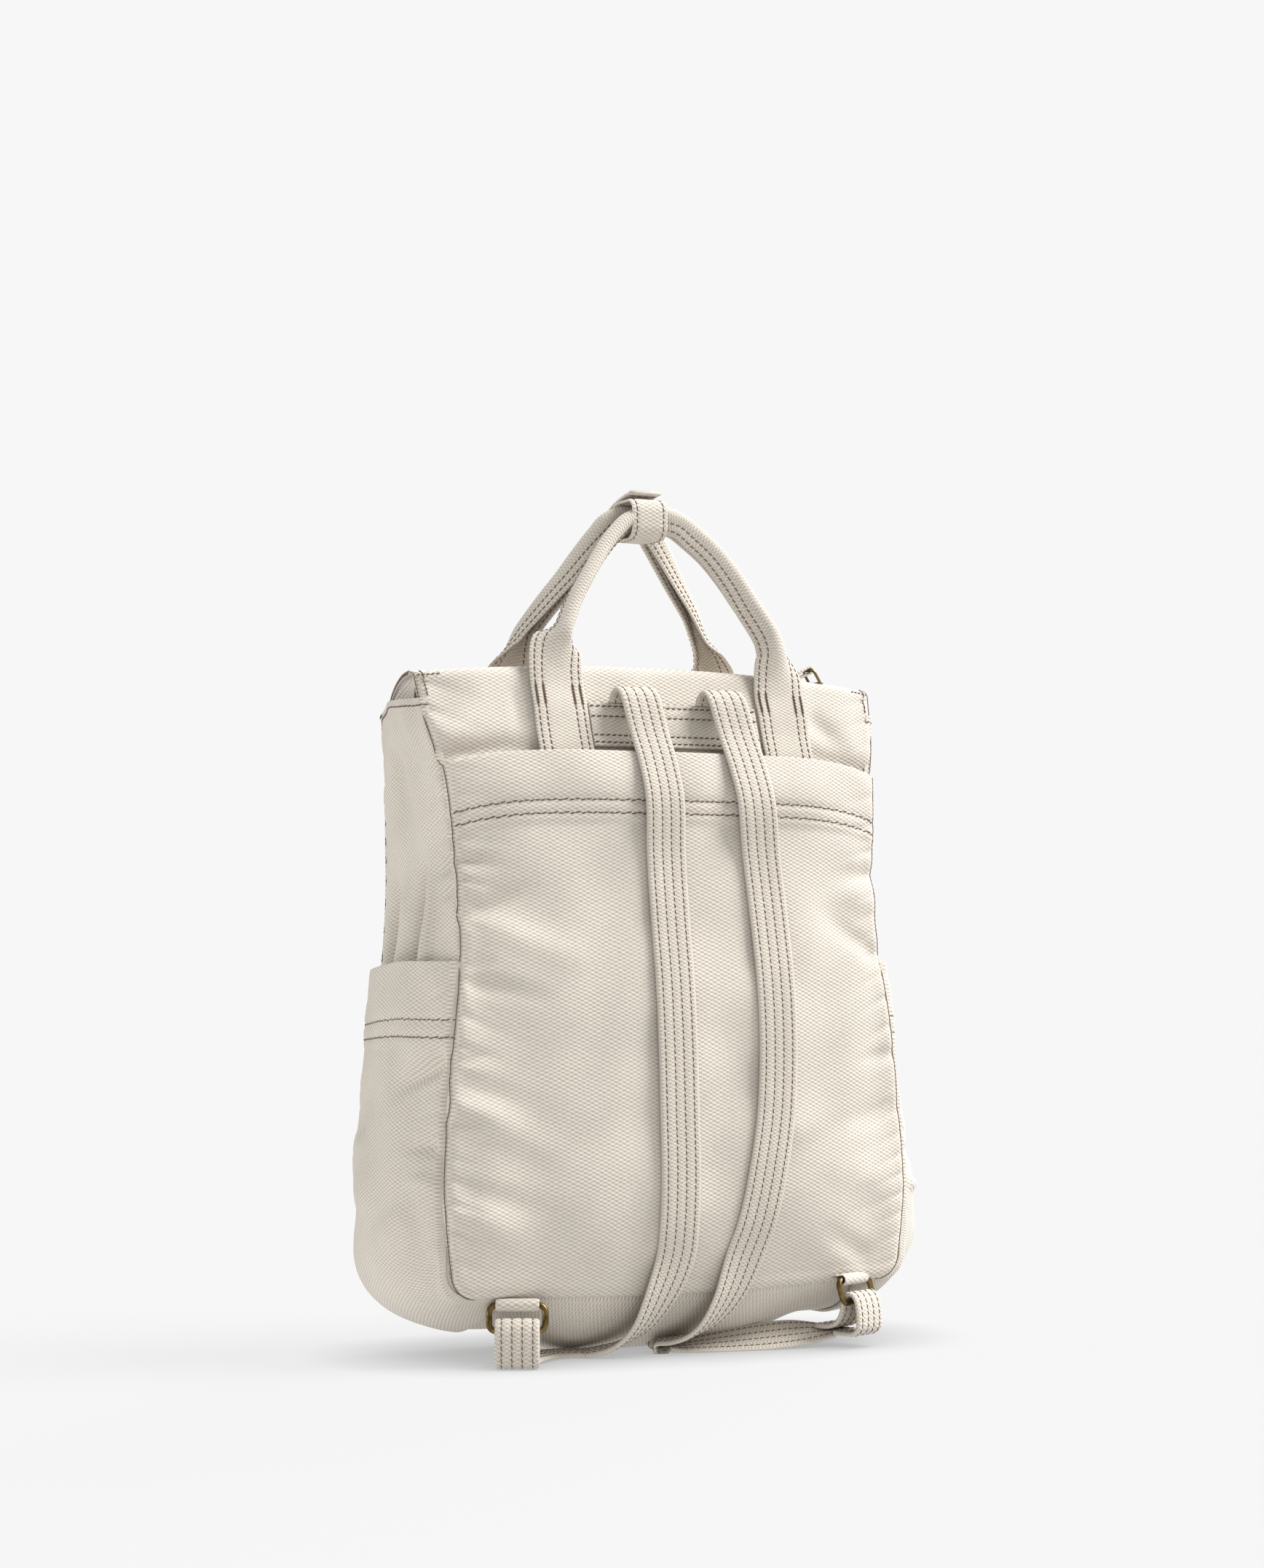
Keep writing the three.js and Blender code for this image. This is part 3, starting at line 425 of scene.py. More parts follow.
pocket = dict(
    top=318, spacing=1.7, rise=9, riseFrom=235, riseTo=288, risePower=5,
    standOff=3.4, openFrom=276, openTo=304, openPower=6,
    rows=(291, 284), press=0.8, pressWide=1.6, hem=282, hemStep=1.3, hemRamp=3,
    dip=3.2, dipUp=2, dipWide=7, dipFrom=62, dipTo=95,
)


# The panel is drawn in along the pocket's mouth, outside the handles' feet
def mouthDip(u, half, z):
    mouth = pocket["top"] + pocket["rise"] * (1 - np.abs(u) ** pocket["risePower"])
    dip = np.exp(-(((z - mouth - pocket["dipUp"]) / pocket["dipWide"]) ** 2))
    return pocket["dip"] * dip * smoothStep(np.abs(u * half), pocket["dipFrom"], pocket["dipTo"])


columns = panelColumns(bag["columns"])[None, :]
half, z, _ = (line[:, None] for line in seamLine(bag["topCorner"]))
panelPoints = backLayer(columns, half, z, -mouthDip(columns, half, z))
backPanel = makePiece("back_panel_cloth", panelPoints, panelPoints[..., [0, 2]], canvas)
seat(thicken(backPanel, bag["cloth"]), "canvas", "back_panel")


# How far stitch rows press a cloth in: a bell across each row
def rowPress(form, z):
    return form["press"] * sum(np.exp(-(((z - row) / form["pressWide"]) ** 2)) for row in form["rows"])


# How far a pocket's face stands off the cloth under it: one layer, two above the hem's fold, and the
# mouth's own gape, less its stitch rows
def pocketProud(form, z, gape):
    hem = form["hemStep"] * smoothStep(z, form["hem"] - form["hemRamp"], form["hem"])
    return bag["gap"] + bag["cloth"] + form["standOff"] * gape + hem - rowPress(form, z)


# The slip pocket's outer face at share u of row z, with a mouth that rises to the middle
def pocketFace(u, half, z):
    gape = smoothStep(z, pocket["openFrom"], pocket["openTo"]) * (1 - u ** pocket["openPower"])
    points = backLayer(u, half, z, pocketProud(pocket, z, gape))
    up = pocket["rise"] * smoothStep(z, pocket["riseFrom"], pocket["riseTo"])
    points[..., 2] += up * (1 - np.abs(u) ** pocket["risePower"])
    return points


half, z, _ = (line[:, None] for line in seamLine(pocket["top"], pocket["spacing"]))
pocketPoints = pocketFace(columns, half, z)
backPocket = makePiece("back_pocket_cloth", pocketPoints, pocketPoints[..., [0, 2]], canvas)
seat(thicken(backPocket, bag["cloth"]), "canvas", "back_pocket")
print("back and slip pocket made")

# The front panel leans back over the mouth above the gusset: its edge there, and its swell
frontLean = dict(t=[0, 1, 2, 3, 4, 5, 6], y=[40, 30, 22.5, 17.5, 12, 5, -4],
                 z=[347, 350, 354, 359, 363.5, 367, 368.5], swell=[7, 6, 5, 3.5, 2, 1, 0])
# Creases of the front, in the same columns as the back's
frontCreases = dict(
    x0=[-134, -128, -137, -130, -110, 132, 128, 136, 131, 104],
    z0=[150, 212, 92, 268, 210, 140, 220, 96, 262, 190],
    x1=[-70, -82, -84, -98, -104, 78, 88, 92, 90, 110],
    z1=[118, 226, 66, 258, 70, 112, 200, 70, 272, 60],
    wide=[10, 6, 9, 5, 24, 9, 6, 8, 5, 24],
    depth=[-3, 3, -2.4, 2.4, 2.4, -2.8, 2.8, -2.2, 2.2, 2.2],
)
front = dict(spacing=2.6, uneven=0.8, waves=(57, 41), turns=(4.1, 1.7), pucker=1.7, reach=9,
             phase=(0.6, 1.7), calm=4, leanRows=36, leanStops=6, cornerFrom=2)


# The front panel's rows up to the gusset's hem, which swell and crease, then those that lean over
# the mouth
def frontPanelPoints(u):
    half, z, _ = (line[:, None] for line in seamLine(bag["topHem"], front["spacing"]))
    bulge = 1 - np.abs(u) ** bag["panelPower"]
    rising, falling = (z / wave for wave in front["waves"])
    uneven = np.sin(u * front["turns"][0] + rising) * np.sin(falling - u * front["turns"][1])
    inset = seamInset(u * half, z)
    puckers = front["pucker"] * seamPuckers(inset, z, front["reach"], np.where(u < 0, *front["phase"]))
    dents = creaseDepth(frontCreases, u * half, z) + puckers
    y = section("front", z) + section("frontOut", z) * bulge + front["uneven"] * uneven * bulge
    y = y - dents * smoothStep(inset, 0, front["calm"]) - edgeRoll(inset, bag["seamRoll"])
    lower = np.stack(np.broadcast_arrays(u * half, y, rowHeight(z, u)), -1)
    t = np.linspace(0, front["leanStops"], front["leanRows"] + 1)[1:, None]
    edge, top, swell = (lookUp(frontLean, column, t, "t") for column in ("y", "z", "swell"))
    upperZ = rowHeight(top, u) + swell * bulge / 2
    lean = smoothStep(t, front["cornerFrom"], front["leanStops"])
    lean = lean * smoothStep(np.abs(u), bag["leanShare"], 1)
    upperY = edge + swell * bulge - bag["cornerLean"] * lean
    upper = np.stack(np.broadcast_arrays(u * section("half", top), upperY, upperZ), -1)
    return np.concatenate([lower, upper])


frontPoints = frontPanelPoints(columns)
middleColumn = columns.size // 2
frontRun = runLength(frontPoints[:, middleColumn])[:, None] + 0 * columns
frontMap = np.stack([frontPoints[..., 0], frontRun], -1)
frontPanel = makePiece("front_panel_cloth", frontPoints, frontMap, canvas)
seat(thicken(frontPanel, bag["cloth"]), "canvas", "front_panel")

# The front panel's side edges above the gusset are turned in, which leaves a slit beside the back's
# corner: straight strips from the panel's edge to the slit, a little hollow between
turnIn = dict(slit=(-1, -9), rise=(347, 367), narrow=0.974, hollow=0.012, shares=(0.03, 1, 14),
              thickness=1.2, rounding=0.3)
seamRows, leanRows = np.split(frontPoints, [-front["leanRows"]])
for side, column in edgeColumn.items():
    edge = leanRows[:, column]
    slitX = edge[:, 0] * turnIn["narrow"]
    slitY, slitZ = (np.linspace(*turnIn[key], len(edge)) for key in ("slit", "rise"))
    slit = np.stack([slitX, slitY, slitZ], -1)
    share = np.linspace(*turnIn["shares"])[None, :, None]
    turned = edge[:, None] + (slit - edge)[:, None] * share
    turned[..., 0] *= 1 - turnIn["hollow"] * np.sin(share[..., 0] * math.pi)
    turnedIn = makePiece(f"front_edge_{side}_cloth", turned, turned[..., [1, 2]], canvas)
    seat(thicken(turnedIn, turnIn["thickness"], turnIn["rounding"]), "canvas")

gussetForm = dict(
    depth=118, columns=61, bottomRows=100, bulge=2.4, roll=4, shoulder=2.6, shoulderDrop=13,
    pocketCrease=1.6, wallCrease=1.5, creaseCalm=6, foldsFrom=30, foldsTo=60,
    pucker=2.2, reach=9, slack=0.5, waves=(28, 70), slackCalm=15,
)
# The right side's creases lie a little farther in and lower, and its waves are others
gussetSides = {-1: dict(swell="leftOut", across=0, up=0, phase=0.4, seed=5),
               1: dict(swell="rightOut", across=7, up=11, phase=1.9, seed=8)}
# Creases of a side, across from the back seam and up: those that the pocket shares with the gusset under
# it, and those of the slack gusset that stand above the pocket's mouth
pocketCreases = dict(
    a0=[0, -1, 0, -2, 85, 20],
    z0=[161, 117, 99, 60, 120, 78],
    a1=[45, 26, 21, 14, 80, 60],
    z1=[143, 114, 96, 50, 160, 66],
    wide=[5, 3.5, 3.5, 4, 12, 7],
    depth=[3.6, 2.6, -2.2, 2.2, 2.2, -2],
)
wallCreases = dict(
    a0=[29, 43, 66, 86, 0, 0, 72, 14],
    z0=[196, 196, 200, 200, 266, 252, 322, 330],
    a1=[27, 38, 62, 92, 26, 20, 52, 60],
    z1=[270, 276, 262, 270, 256, 246, 262, 306],
    wide=[5, 7.5, 8, 10, 3.5, 3, 15, 9],
    depth=[-5, 9.5, -3, 7, 2.4, 2, 4, 2.2],
)


# Round both seams and flat on the floor between: 0 at a seam, 1 on the floor
def floorProfile(w):
    nearBack = np.clip((bag["floorBack"] - w) / bag["floorBack"], 0, 1)
    nearFront = np.clip((w - bag["floorFront"]) / (1 - bag["floorFront"]), 0, 1)
    return 1 - nearBack ** bag["backCurve"] - nearFront ** bag["frontCurve"]


# The gusset at a place on the side seam and a share w of the depth. It swells sideways on the sides and
# down to the floor underneath, and the two are mixed round the bottom corners.
def gussetFace(x, z, angle, w, offset, sign, wall=True):
    own = gussetSides[sign]
    hemShare = smoothStep(z, bag["hemFrom"], bag["topHem"]) * (1 - smoothStep(w, 0.5, 1))
    up = z + bag["hemRise"] * hemShare
    x = np.where(z > roundHeight, section("half", up), x)
    seatDepth = bag["cloth"] + bag["gap"]
    shoulderFrom = bag["topHem"] - gussetForm["shoulderDrop"]
    shoulder = gussetForm["shoulder"] * smoothStep(up, shoulderFrom, bag["topHem"])
    backEdge = -section("back", up) + seatDepth
    frontEdge = section("front", up) - seatDepth - shoulder
    y = backEdge + (frontEdge - backEdge) * w
    inset = np.minimum(w, 1 - w) * gussetForm["depth"]
    puckers = gussetForm["pucker"] * seamPuckers(inset, up, gussetForm["reach"], own["phase"])
    slack = ripples(w * gussetForm["depth"], up, own["seed"], *gussetForm["waves"], gussetForm["slack"])
    across = w * gussetForm["depth"] - own["across"]
    creases = gussetForm["pocketCrease"] * creaseDepth(pocketCreases, across, up + own["up"])
    creases = creases + slack * smoothStep(inset, 0, gussetForm["slackCalm"])
    if wall:
        creases = creases + gussetForm["wallCrease"] * creaseDepth(wallCreases, across, up + own["up"])
    dents = creases * smoothStep(inset, 0, gussetForm["creaseCalm"]) + puckers
    bulge = 1 - np.abs(2 * w - 1) ** gussetForm["bulge"]
    sideways = section(own["swell"], up) * bulge
    sideways = sideways - dents * smoothStep(up, gussetForm["foldsFrom"], gussetForm["foldsTo"])
    lift = bag["floorLift"] * smoothStep(x, bag["floorHalf"], roundHalf)
    down = (z - lift) * floorProfile(w)
    bottomness = smoothStep(angle / (math.pi / 2), 0, 1)
    corner = cornerReach(angle) * (1 - bulge - (floorProfile(w) - bulge) * bottomness) ** 2
    out = sideways + (down - sideways) * bottomness + corner
    out = out - edgeRoll(inset, gussetForm["roll"]) + offset
    left = sign * (x + np.cos(angle) * out)
    return np.stack(np.broadcast_arrays(left, y, np.maximum(up - np.sin(angle) * out, 0)), -1)


# The whole strip: down one side, along the bottom and up the other
def gussetPoints(shares):
    half, z, angle = (line[:, None] for line in gussetLine(bag["topHem"]))
    left, right = (gussetFace(half, z, angle, shares, 0, sign) for sign in (-1, 1))
    across = np.linspace(roundHalf, -roundHalf, gussetForm["bottomRows"])[1:-1, None]
    sag = seamFoot - bag["bottomSag"] * (1 - (across / roundHalf) ** 2)
    bottom = gussetFace(np.abs(across), sag, np.full_like(across, math.pi / 2), shares, 0, 1)
    bottom[..., 0] = across
    return np.concatenate([right[::-1], bottom, left])


# A gusset layer's mesh, with lengths across and along the strip on its map
def gussetPiece(name, points):
    run = runLength(points[:, shares.size // 2])[:, None]
    places = np.stack(np.broadcast_arrays(shares * gussetForm["depth"], run), -1)
    return thicken(makePiece(name, points, places, canvas), bag["cloth"])


shares = ((panelColumns(gussetForm["columns"]) + 1) / 2)[None, :]
seat(gussetPiece("gusset_cloth", gussetPoints(shares)), "canvas", "gusset")

sidePocket = dict(
    top=207, spacing=1.7, skip=6, rimRise=6, rimFrom=140, rimTo=190, rimShare=0.3,
    standOff=6, openFrom=150, openPower=4,
    rows=(177, 169), press=0.7, pressWide=1.6, hem=167, hemStep=0.8, hemRamp=3,
)


# A side pocket: a patch over the gusset whose mouth stands open and is higher at the back seam
def sidePocketFace(half, z, angle, w, sign):
    rim = smoothStep(z, sidePocket["rimFrom"], sidePocket["rimTo"])
    rim = rim * (1 - smoothStep(w, sidePocket["rimShare"], 1))
    gape = smoothStep(z, sidePocket["openFrom"], sidePocket["top"])
    gape = gape * (1 - (2 * w - 1) ** sidePocket["openPower"])
    proud = pocketProud(sidePocket, z, gape)
    return gussetFace(half, z + sidePocket["rimRise"] * rim, angle, w, proud, sign, wall=False)


for side, sign in sides.items():
    lines = gussetLine(sidePocket["top"], sidePocket["spacing"])
    half, z, angle = (line[sidePocket["skip"] :, None] for line in lines)
    patch = sidePocketFace(half, z, angle, shares, sign)
    seat(gussetPiece(f"side_pocket_{side}_cloth", patch), "canvas", f"side_pocket_{side}")
print("gusset, front and side pockets made")


# Straps and other ribbons

# A smooth path through stops, at even spacing: each column is a cubic over the square root of the
# distance between stops, so that close stops make tight turns without loops
def pathThrough(stops, spacing, finer=40, fewest=8):
    places = np.stack([np.array(stops[axis], float) for axis in "xyz"], -1)
    knots = np.concatenate([[0], np.cumsum(np.sqrt(np.linalg.norm(np.diff(places, axis=0), axis=-1)))])
    table = {"t": knots, **stops}
    fine = np.linspace(0, knots[-1], finer * len(knots))
    run = runLength(np.stack([lookUp(table, axis, fine, "t") for axis in "xyz"], -1))
    even = np.interp(np.linspace(0, run[-1], max(round(run[-1] / spacing), fewest)), run, fine)
    return {column: lookUp(table, column, even, "t") for column in stops}


# Stops of a ribbon whose width keeps one heading; a single number stands for every stop
def stopsAt(x, y, z, turn):
    return dict(zip(("x", "y", "z", "turn"), np.broadcast_arrays(x, y, z, float(turn))))


# The frame of a ribbon: its width points along "turn" in plan, tilted up by "tilt", and is made square
# to the path
def ribbonFrame(path):
    points = np.stack([path[axis] for axis in "xyz"], -1)
    along = unit(np.gradient(points, axis=0))
    turn = np.radians(path["turn"])
    tilt = np.radians(path.get("tilt", 0 * turn))
    across = np.stack([np.cos(turn) * np.cos(tilt), np.sin(turn) * np.cos(tilt), np.sin(tilt)], -1)
    across = unit(across - along * np.sum(across * along, -1, keepdims=True))
    return points, along, across, np.cross(along, across)


strip = dict(edgePower=10, press=0.3, pressWide=1.1, floorCloth=0.1, floorThread=0.5)


# Half thickness of a folded strip across its width: round edges, pressed in along its stitch rows
def stripHalf(s, form):
    edge = np.sqrt(np.maximum(1 - np.abs(2 * s / form["width"]) ** strip["edgePower"], 0))
    dips = sum((np.exp(-(((s - row) / strip["pressWide"]) ** 2)) for row in form["rows"]), 0 * s)
    return (form["thickness"] / 2 - strip["press"] * dips) * edge


# Round a strip's section, out over one face and back over the other: places across it, closer together
# at its edges, the half thickness with its sign, and the distance round it
def stripLoop(form, count):
    spots = form["width"] / 2 * np.sin(np.linspace(-1, 1, count) * math.pi / 2)
    s = np.concatenate([spots, spots[-2:0:-1]])
    facing = np.concatenate([np.ones(count), -np.ones(count - 2)])
    return s, stripHalf(s, form) * facing, np.concatenate([spots, form["width"] * 1.5 + spots[1:]])


# A strip's section carried along a path, pressed flat where it meets the floor
def ribbonPiece(name, path, form, finish, count=33, ring=False):
    points, _, across, out = ribbonFrame(path)
    s, half, girth = stripLoop(form, count)
    grid = points[:, None] + across[:, None] * s[:, None] + out[:, None] * half[:, None]
    grid[..., 2] = np.maximum(grid[..., 2], strip["floorCloth"])
    run = runLength(points)
    uv = np.stack(np.broadcast_arrays(girth[None, :], run[:, None]), -1)
    if ring:
        uv = np.concatenate([uv, uv[:1] + [0, run[-1] + np.linalg.norm(points[0] - points[-1])]])
    return makePiece(name, grid, uv, finish, loop=True, ring=ring, lids=not ring)


# Lines on both faces of a strip where its stitch rows run, with the outward direction
def ribbonRows(path, form):
    points, _, across, out = ribbonFrame(path)
    lines = []
    for row in form["rows"]:
        half = float(stripHalf(np.array(row), form))
        lines += [(points + across * row + out * half * face, out * face) for face in (1, -1)]
    for line, _ in lines:
        line[:, 2] = np.maximum(line[:, 2], strip["floorThread"])
    return lines


strap = dict(width=23.5, thickness=3.0, rows=(-8.2, -2.7, 2.7, 8.2), spacing=2.2, clear=1.0, floorGap=0.5,
             mouth=4.4, mouthFrom=258, mouthTo=300)
strapHang = dict(
    left=dict(z=[54, 110, 225, 322, 360], x=[-11, -11, -12.6, -15.5, -21.5]),
    right=dict(z=[54, 74, 138, 225, 322, 360], x=[31.6, 36.9, 48.7, 48.8, 39.5, 32]),
)
# The fold over the band's top edge, from the sewn end to the front leg
strapFold = dict(y=[-31.6, -33, -36.5, -41, -45, -47.2, -50],
                 z=[353.6, 357.5, 360.6, 361.2, 358.5, 353, 338])
strapHeights = [320, 300, 270, 235, 200, 165, 130, 100, 74, 54]
# Under the bag: the strap's middle, the heading of its width, and how far its far edge is tilted up
strapUnder = dict(
    left=dict(x=[-17.5, -24, -32, -42, -54, -68, -83], y=[-63, -55, -45, -36, -29, -29, -38],
              z=[33, 17, 7.5, 3, 1.4, 1.4, 1.4], turn=[14, 34, 54, 72, 88, 98, 125],
              tilt=[0, 0, 0, 0, 0, 0, 0]),
    right=dict(x=[24.8, 17, 10, 3.5, -2, -4.2, -5, -4.2, -2, 3, 14, 40, 60, 76, 91],
               y=[-63, -56, -48, -40, -34, -32.2, -31.6, -31.4, -31, -31, -34, -40, -44, -46, -48],
               z=[33, 18, 10.5, 7, 5.9, 5.3, 3.7, 2.1, 1.7, 1.6, 2.4, 4.8, 6.6, 7.6, 8],
               turn=[16, 34, 50, 58, 64, 66, 66, 66, 66, 70, 80, 92, 88, 76, 52],
               tilt=[0, 0, 0, 0, 0, 0, 0, 0, 0, 0, 8, 22, 30, 28, 12]),
)
# Through a ring, seen along its bar: distance out from the seam, and height
ringLoop = dict(out=[-5, 5, 11.5, 14.8, 15.2, 14.8, 13.8, 12, 9.2, 6.6, 5, 3.6, 0, -6, -14],
                z=[1.4, 1.4, 1.8, 4.6, 10, 15, 19.4, 22.4, 23.6, 22.2, 18, 12, 6.8, 4.7, 4.5])
ring = dict(turn=25, width=29.5, wire=3.3, corner=4, topOut=4.6, topHeight=31, lowOut=8.5, lowHeight=18.5)
# Where each ring hangs: distance from the middle, height of its upper bar and of the place under its
# loop
ringHang = dict(left=dict(offset=98, top=32.8, foot=0), right=dict(offset=102, top=37.5, foot=6.5))


# Face of the back panel straight behind a place
def backFace(x, z):
    u = x / section("half", z)
    row = 2 * z - rowHeight(z, u)
    return -section("back", row) - section("backOut", row) * (1 - np.abs(u) ** bag["panelPower"])


# Place beside a ring: "out" runs away from the bottom seam, square to the ring's bar
def besideRing(side, out, z):
    hang = ringHang[side]
    turn = math.radians(ring["turn"])
    out = np.asarray(out, float)
    x = sides[side] * (hang["offset"] + out * math.sin(turn))
    y = -float(section("back", seamFoot)) - out * math.cos(turn)
    height = hang["foot"] + np.asarray(z, float) * (hang["top"] - hang["foot"]) / ring["topHeight"]
    return np.stack(np.broadcast_arrays(x, y, height), -1)


# The whole route of a strap: fold over the band, run down the back, under the bag and through its ring
def strapPath(side):
    hang = strapHang[side]
    fold = np.array([strapFold["y"], strapFold["z"]])
    foldX = np.where(fold[0] > strapFold["y"][3], hang["x"][-1], lookUp(hang, "x", fold[1]))
    z = np.array(strapHeights, float)
    x = lookUp(hang, "x", z)
    under = np.min([backFace(x + share * strap["width"], z) for share in (-0.5, 0, 0.5)], axis=0)
    mouth = (pocket["standOff"] + strap["mouth"]) * smoothStep(z, strap["mouthFrom"], strap["mouthTo"])
    y = under - bag["gap"] - bag["cloth"] - mouth - strap["clear"] - strap["thickness"] / 2
    low = strapUnder[side]
    loop = besideRing(side, ringLoop["out"], ringLoop["z"])
    heading = 180 - ring["turn"] if side == "left" else ring["turn"]
    stops = dict(
        x=np.concatenate([foldX, x, low["x"], loop[:, 0]]),
        y=np.concatenate([fold[0], y, low["y"], loop[:, 1]]),
        z=np.concatenate([fold[1], z, low["z"], loop[:, 2]]),
        turn=np.concatenate([0 * foldX, 0 * x, low["turn"], np.full(len(loop), heading)]),
        tilt=np.concatenate([0 * foldX, 0 * x, low["tilt"], np.zeros(len(loop))]),
    )
    path = pathThrough(stops, strap["spacing"])
    path["z"] = np.maximum(path["z"], strap["thickness"] / 2 + strap["floorGap"])
    return path


# A round wire bent to a flat closed path: a circle carried along it, square to the path
def wireLoop(name, path, wire, finish, count=12):
    along = unit(np.roll(path, -1, axis=0) - np.roll(path, 1, axis=0))
    normal = unit(np.cross(path[5] - path[0], path[10] - path[5]))  # there is a corner within ten points
    outward = np.cross(along, normal)
    angle = np.linspace(0, 2 * math.pi, count, endpoint=False)[None, :, None]
    grid = path[:, None] + wire / 2 * (np.cos(angle) * outward[:, None] + np.sin(angle) * normal)
    uv = np.zeros((len(path) + 1, count + 1, 2))
    return makePiece(name, grid, uv, finish, loop=True, ring=True)


# Points of a rectangle with round corners about its middle
def roundedPath(width, height, radius, steps=8):
    corner = np.repeat(np.arange(4), steps)
    angle = (corner + np.tile(np.linspace(0, 1, steps), 4)) * math.pi / 2
    middle = np.floor((corner + 1) / 2) % 2
    x = np.where(middle == 0, 1, -1) * (width / 2 - radius) + radius * np.cos(angle)
    z = np.where(corner < 2, 1, -1) * (height / 2 - radius) + radius * np.sin(angle)
    return x, z


# Stitching

sewing = dict(pitch=3.5, length=3.1, thick=0.8, slant=0.22)
capsule = dict(along=np.array([-1, -0.6, 0, 0.6, 1]), girth=np.array([0.4, 0.9, 1, 0.9, 0.4]),
               arch=np.array([-0.25, 0.1, 0.2, 0.1, -0.25]), sides=6)


# Many short rounded bars as one mesh: each is five rings about its middle, arched and thin at both ends
def capsules(name, middles, along, out, length, thick, finish, slant=0.0):
    out = unit(out - along * np.sum(out * along, -1, keepdims=True))
    side = np.cross(out, along)
    angle = np.arange(capsule["sides"]) * 2 * math.pi / capsule["sides"]
    t = capsule["along"][None, :, None, None]
    girth = capsule["girth"][None, :, None, None] * thick / 2
    lift = capsule["arch"][None, :, None, None] * thick
    across = girth * np.cos(angle)[None, None, :, None] + slant * t
    up = girth * np.sin(angle)[None, None, :, None] + lift
    middles, along, side, out = (vectors[:, None, None] for vectors in (middles, along, side, out))
    points = middles + along * length / 2 * t + side * across + out * up
    index = np.arange(points[..., 0].size).reshape(points.shape[:-1])
    turned = np.roll(index, -1, axis=2)
    quads = np.stack([index[:, :-1], turned[:, :-1], turned[:, 1:], index[:, 1:]], -1).reshape(-1, 4)
    ends = np.concatenate([index[:, 0, ::-1], index[:, -1]])
    return meshPiece(name, points.reshape(-1, 3), quads.tolist() + ends.tolist(), None, finish)


# Vectors at distances along a run, read between its rows
def readAt(at, run, vectors):
    return np.stack([np.interp(at, run, vectors[:, k]) for k in range(3)], -1)


# Middles, headings and outward directions of the stitches along lines of points
def stitchPlaces(lines, pitch):
    found = []
    for points, outward in lines:
        run = runLength(points)
        count = max(int(run[-1] / pitch), 1)
        at = (np.arange(count) + 0.5) * run[-1] / count
        heading = unit(np.gradient(points, axis=0))
        outward = np.broadcast_to(outward, points.shape)
        middles, along, out = (readAt(at, run, vectors) for vectors in (points, heading, outward))
        found.append((middles, unit(along), unit(out)))
    return [np.concatenate(parts) for parts in zip(*found)]


# Stitching along lines as one piece of thread
def stitchPiece(name, lines, pitch=sewing["pitch"], length=sewing["length"], thick=sewing["thick"]):
    middles, along, out = stitchPlaces(lines, pitch)
    return seat(capsules(name, middles, along, out, length, thick, thread, sewing["slant"]), "thread")


threadLook = dict(dark="#3E2E23", pale="#745B47", ply=1.2, roughness=0.7, sheen=0.2)


# Mercerised cotton sewing thread: dark brown, lit along its twist and duller where it enters the cloth
def sewingThread():
    finish, tree, shader = newFinish("brownThread")
    spot = addNode(tree, "ShaderNodeTexCoord").outputs["Object"]
    ply = addNode(tree, "ShaderNodeTexNoise", {},
                  {"Vector": spot, "Scale": 1 / (threadLook["ply"] * mm), "Detail": 2.0})
    tone = addNode(tree, "ShaderNodeMix", {"data_type": "RGBA"},
                   {0: ply.outputs[0], 6: linear(threadLook["dark"]), 7: linear(threadLook["pale"])})
    tree.links.new(tone.outputs[2], shader.inputs["Base Color"])
    shader.inputs["Roughness"].default_value = threadLook["roughness"]
    shader.inputs["Sheen Weight"].default_value = threadLook["sheen"]
    return finish


brassLook = dict(hollow="#40331D", worn="#8A7447", stain=7, wornFrom=0.35, wornTo=0.62,
                 dull=0.5, bright=0.28, grit=0.8, relief=0.1, bump=0.2)


# Antique brass: a warm metal whose hollows stay brown while handling burnishes the rest
def antiqueBrass():
    finish, tree, shader = newFinish("antiqueBrass")
    spot = addNode(tree, "ShaderNodeTexCoord").outputs["Object"]
    stain = addNode(tree, "ShaderNodeTexNoise", {},
                    {"Vector": spot, "Scale": 1 / (brassLook["stain"] * mm), "Detail": 4.0})
    grit = addNode(tree, "ShaderNodeTexNoise", {},
                   {"Vector": spot, "Scale": 1 / (brassLook["grit"] * mm), "Detail": 2.0})
    worn = addNode(tree, "ShaderNodeMapRange", {},
                   {0: stain.outputs[0], 1: brassLook["wornFrom"], 2: brassLook["wornTo"]})
    tone = addNode(tree, "ShaderNodeMix", {"data_type": "RGBA"},
                   {0: worn.outputs[0], 6: linear(brassLook["hollow"]), 7: linear(brassLook["worn"])})
    polish = addNode(tree, "ShaderNodeMapRange", {},
                     {0: worn.outputs[0], 3: brassLook["dull"], 4: brassLook["bright"]})
    bump = addNode(tree, "ShaderNodeBump", {},
                   {"Strength": brassLook["bump"], "Distance": brassLook["relief"] * mm,
                    "Height": grit.outputs[0]})
    tree.links.new(tone.outputs[2], shader.inputs["Base Color"])
    tree.links.new(polish.outputs[0], shader.inputs["Roughness"])
    tree.links.new(bump.outputs[0], shader.inputs["Normal"])
    shader.inputs["Metallic"].default_value = 1.0
    return finish


thread = sewingThread()
brass = antiqueBrass()

# Straps, rings and their tabs

tab = dict(width=23, thickness=1.2, rows=(), seam=[-0.6, 1], rise=1.2, turns=(120, -141, -26),
           spacing=0.7)


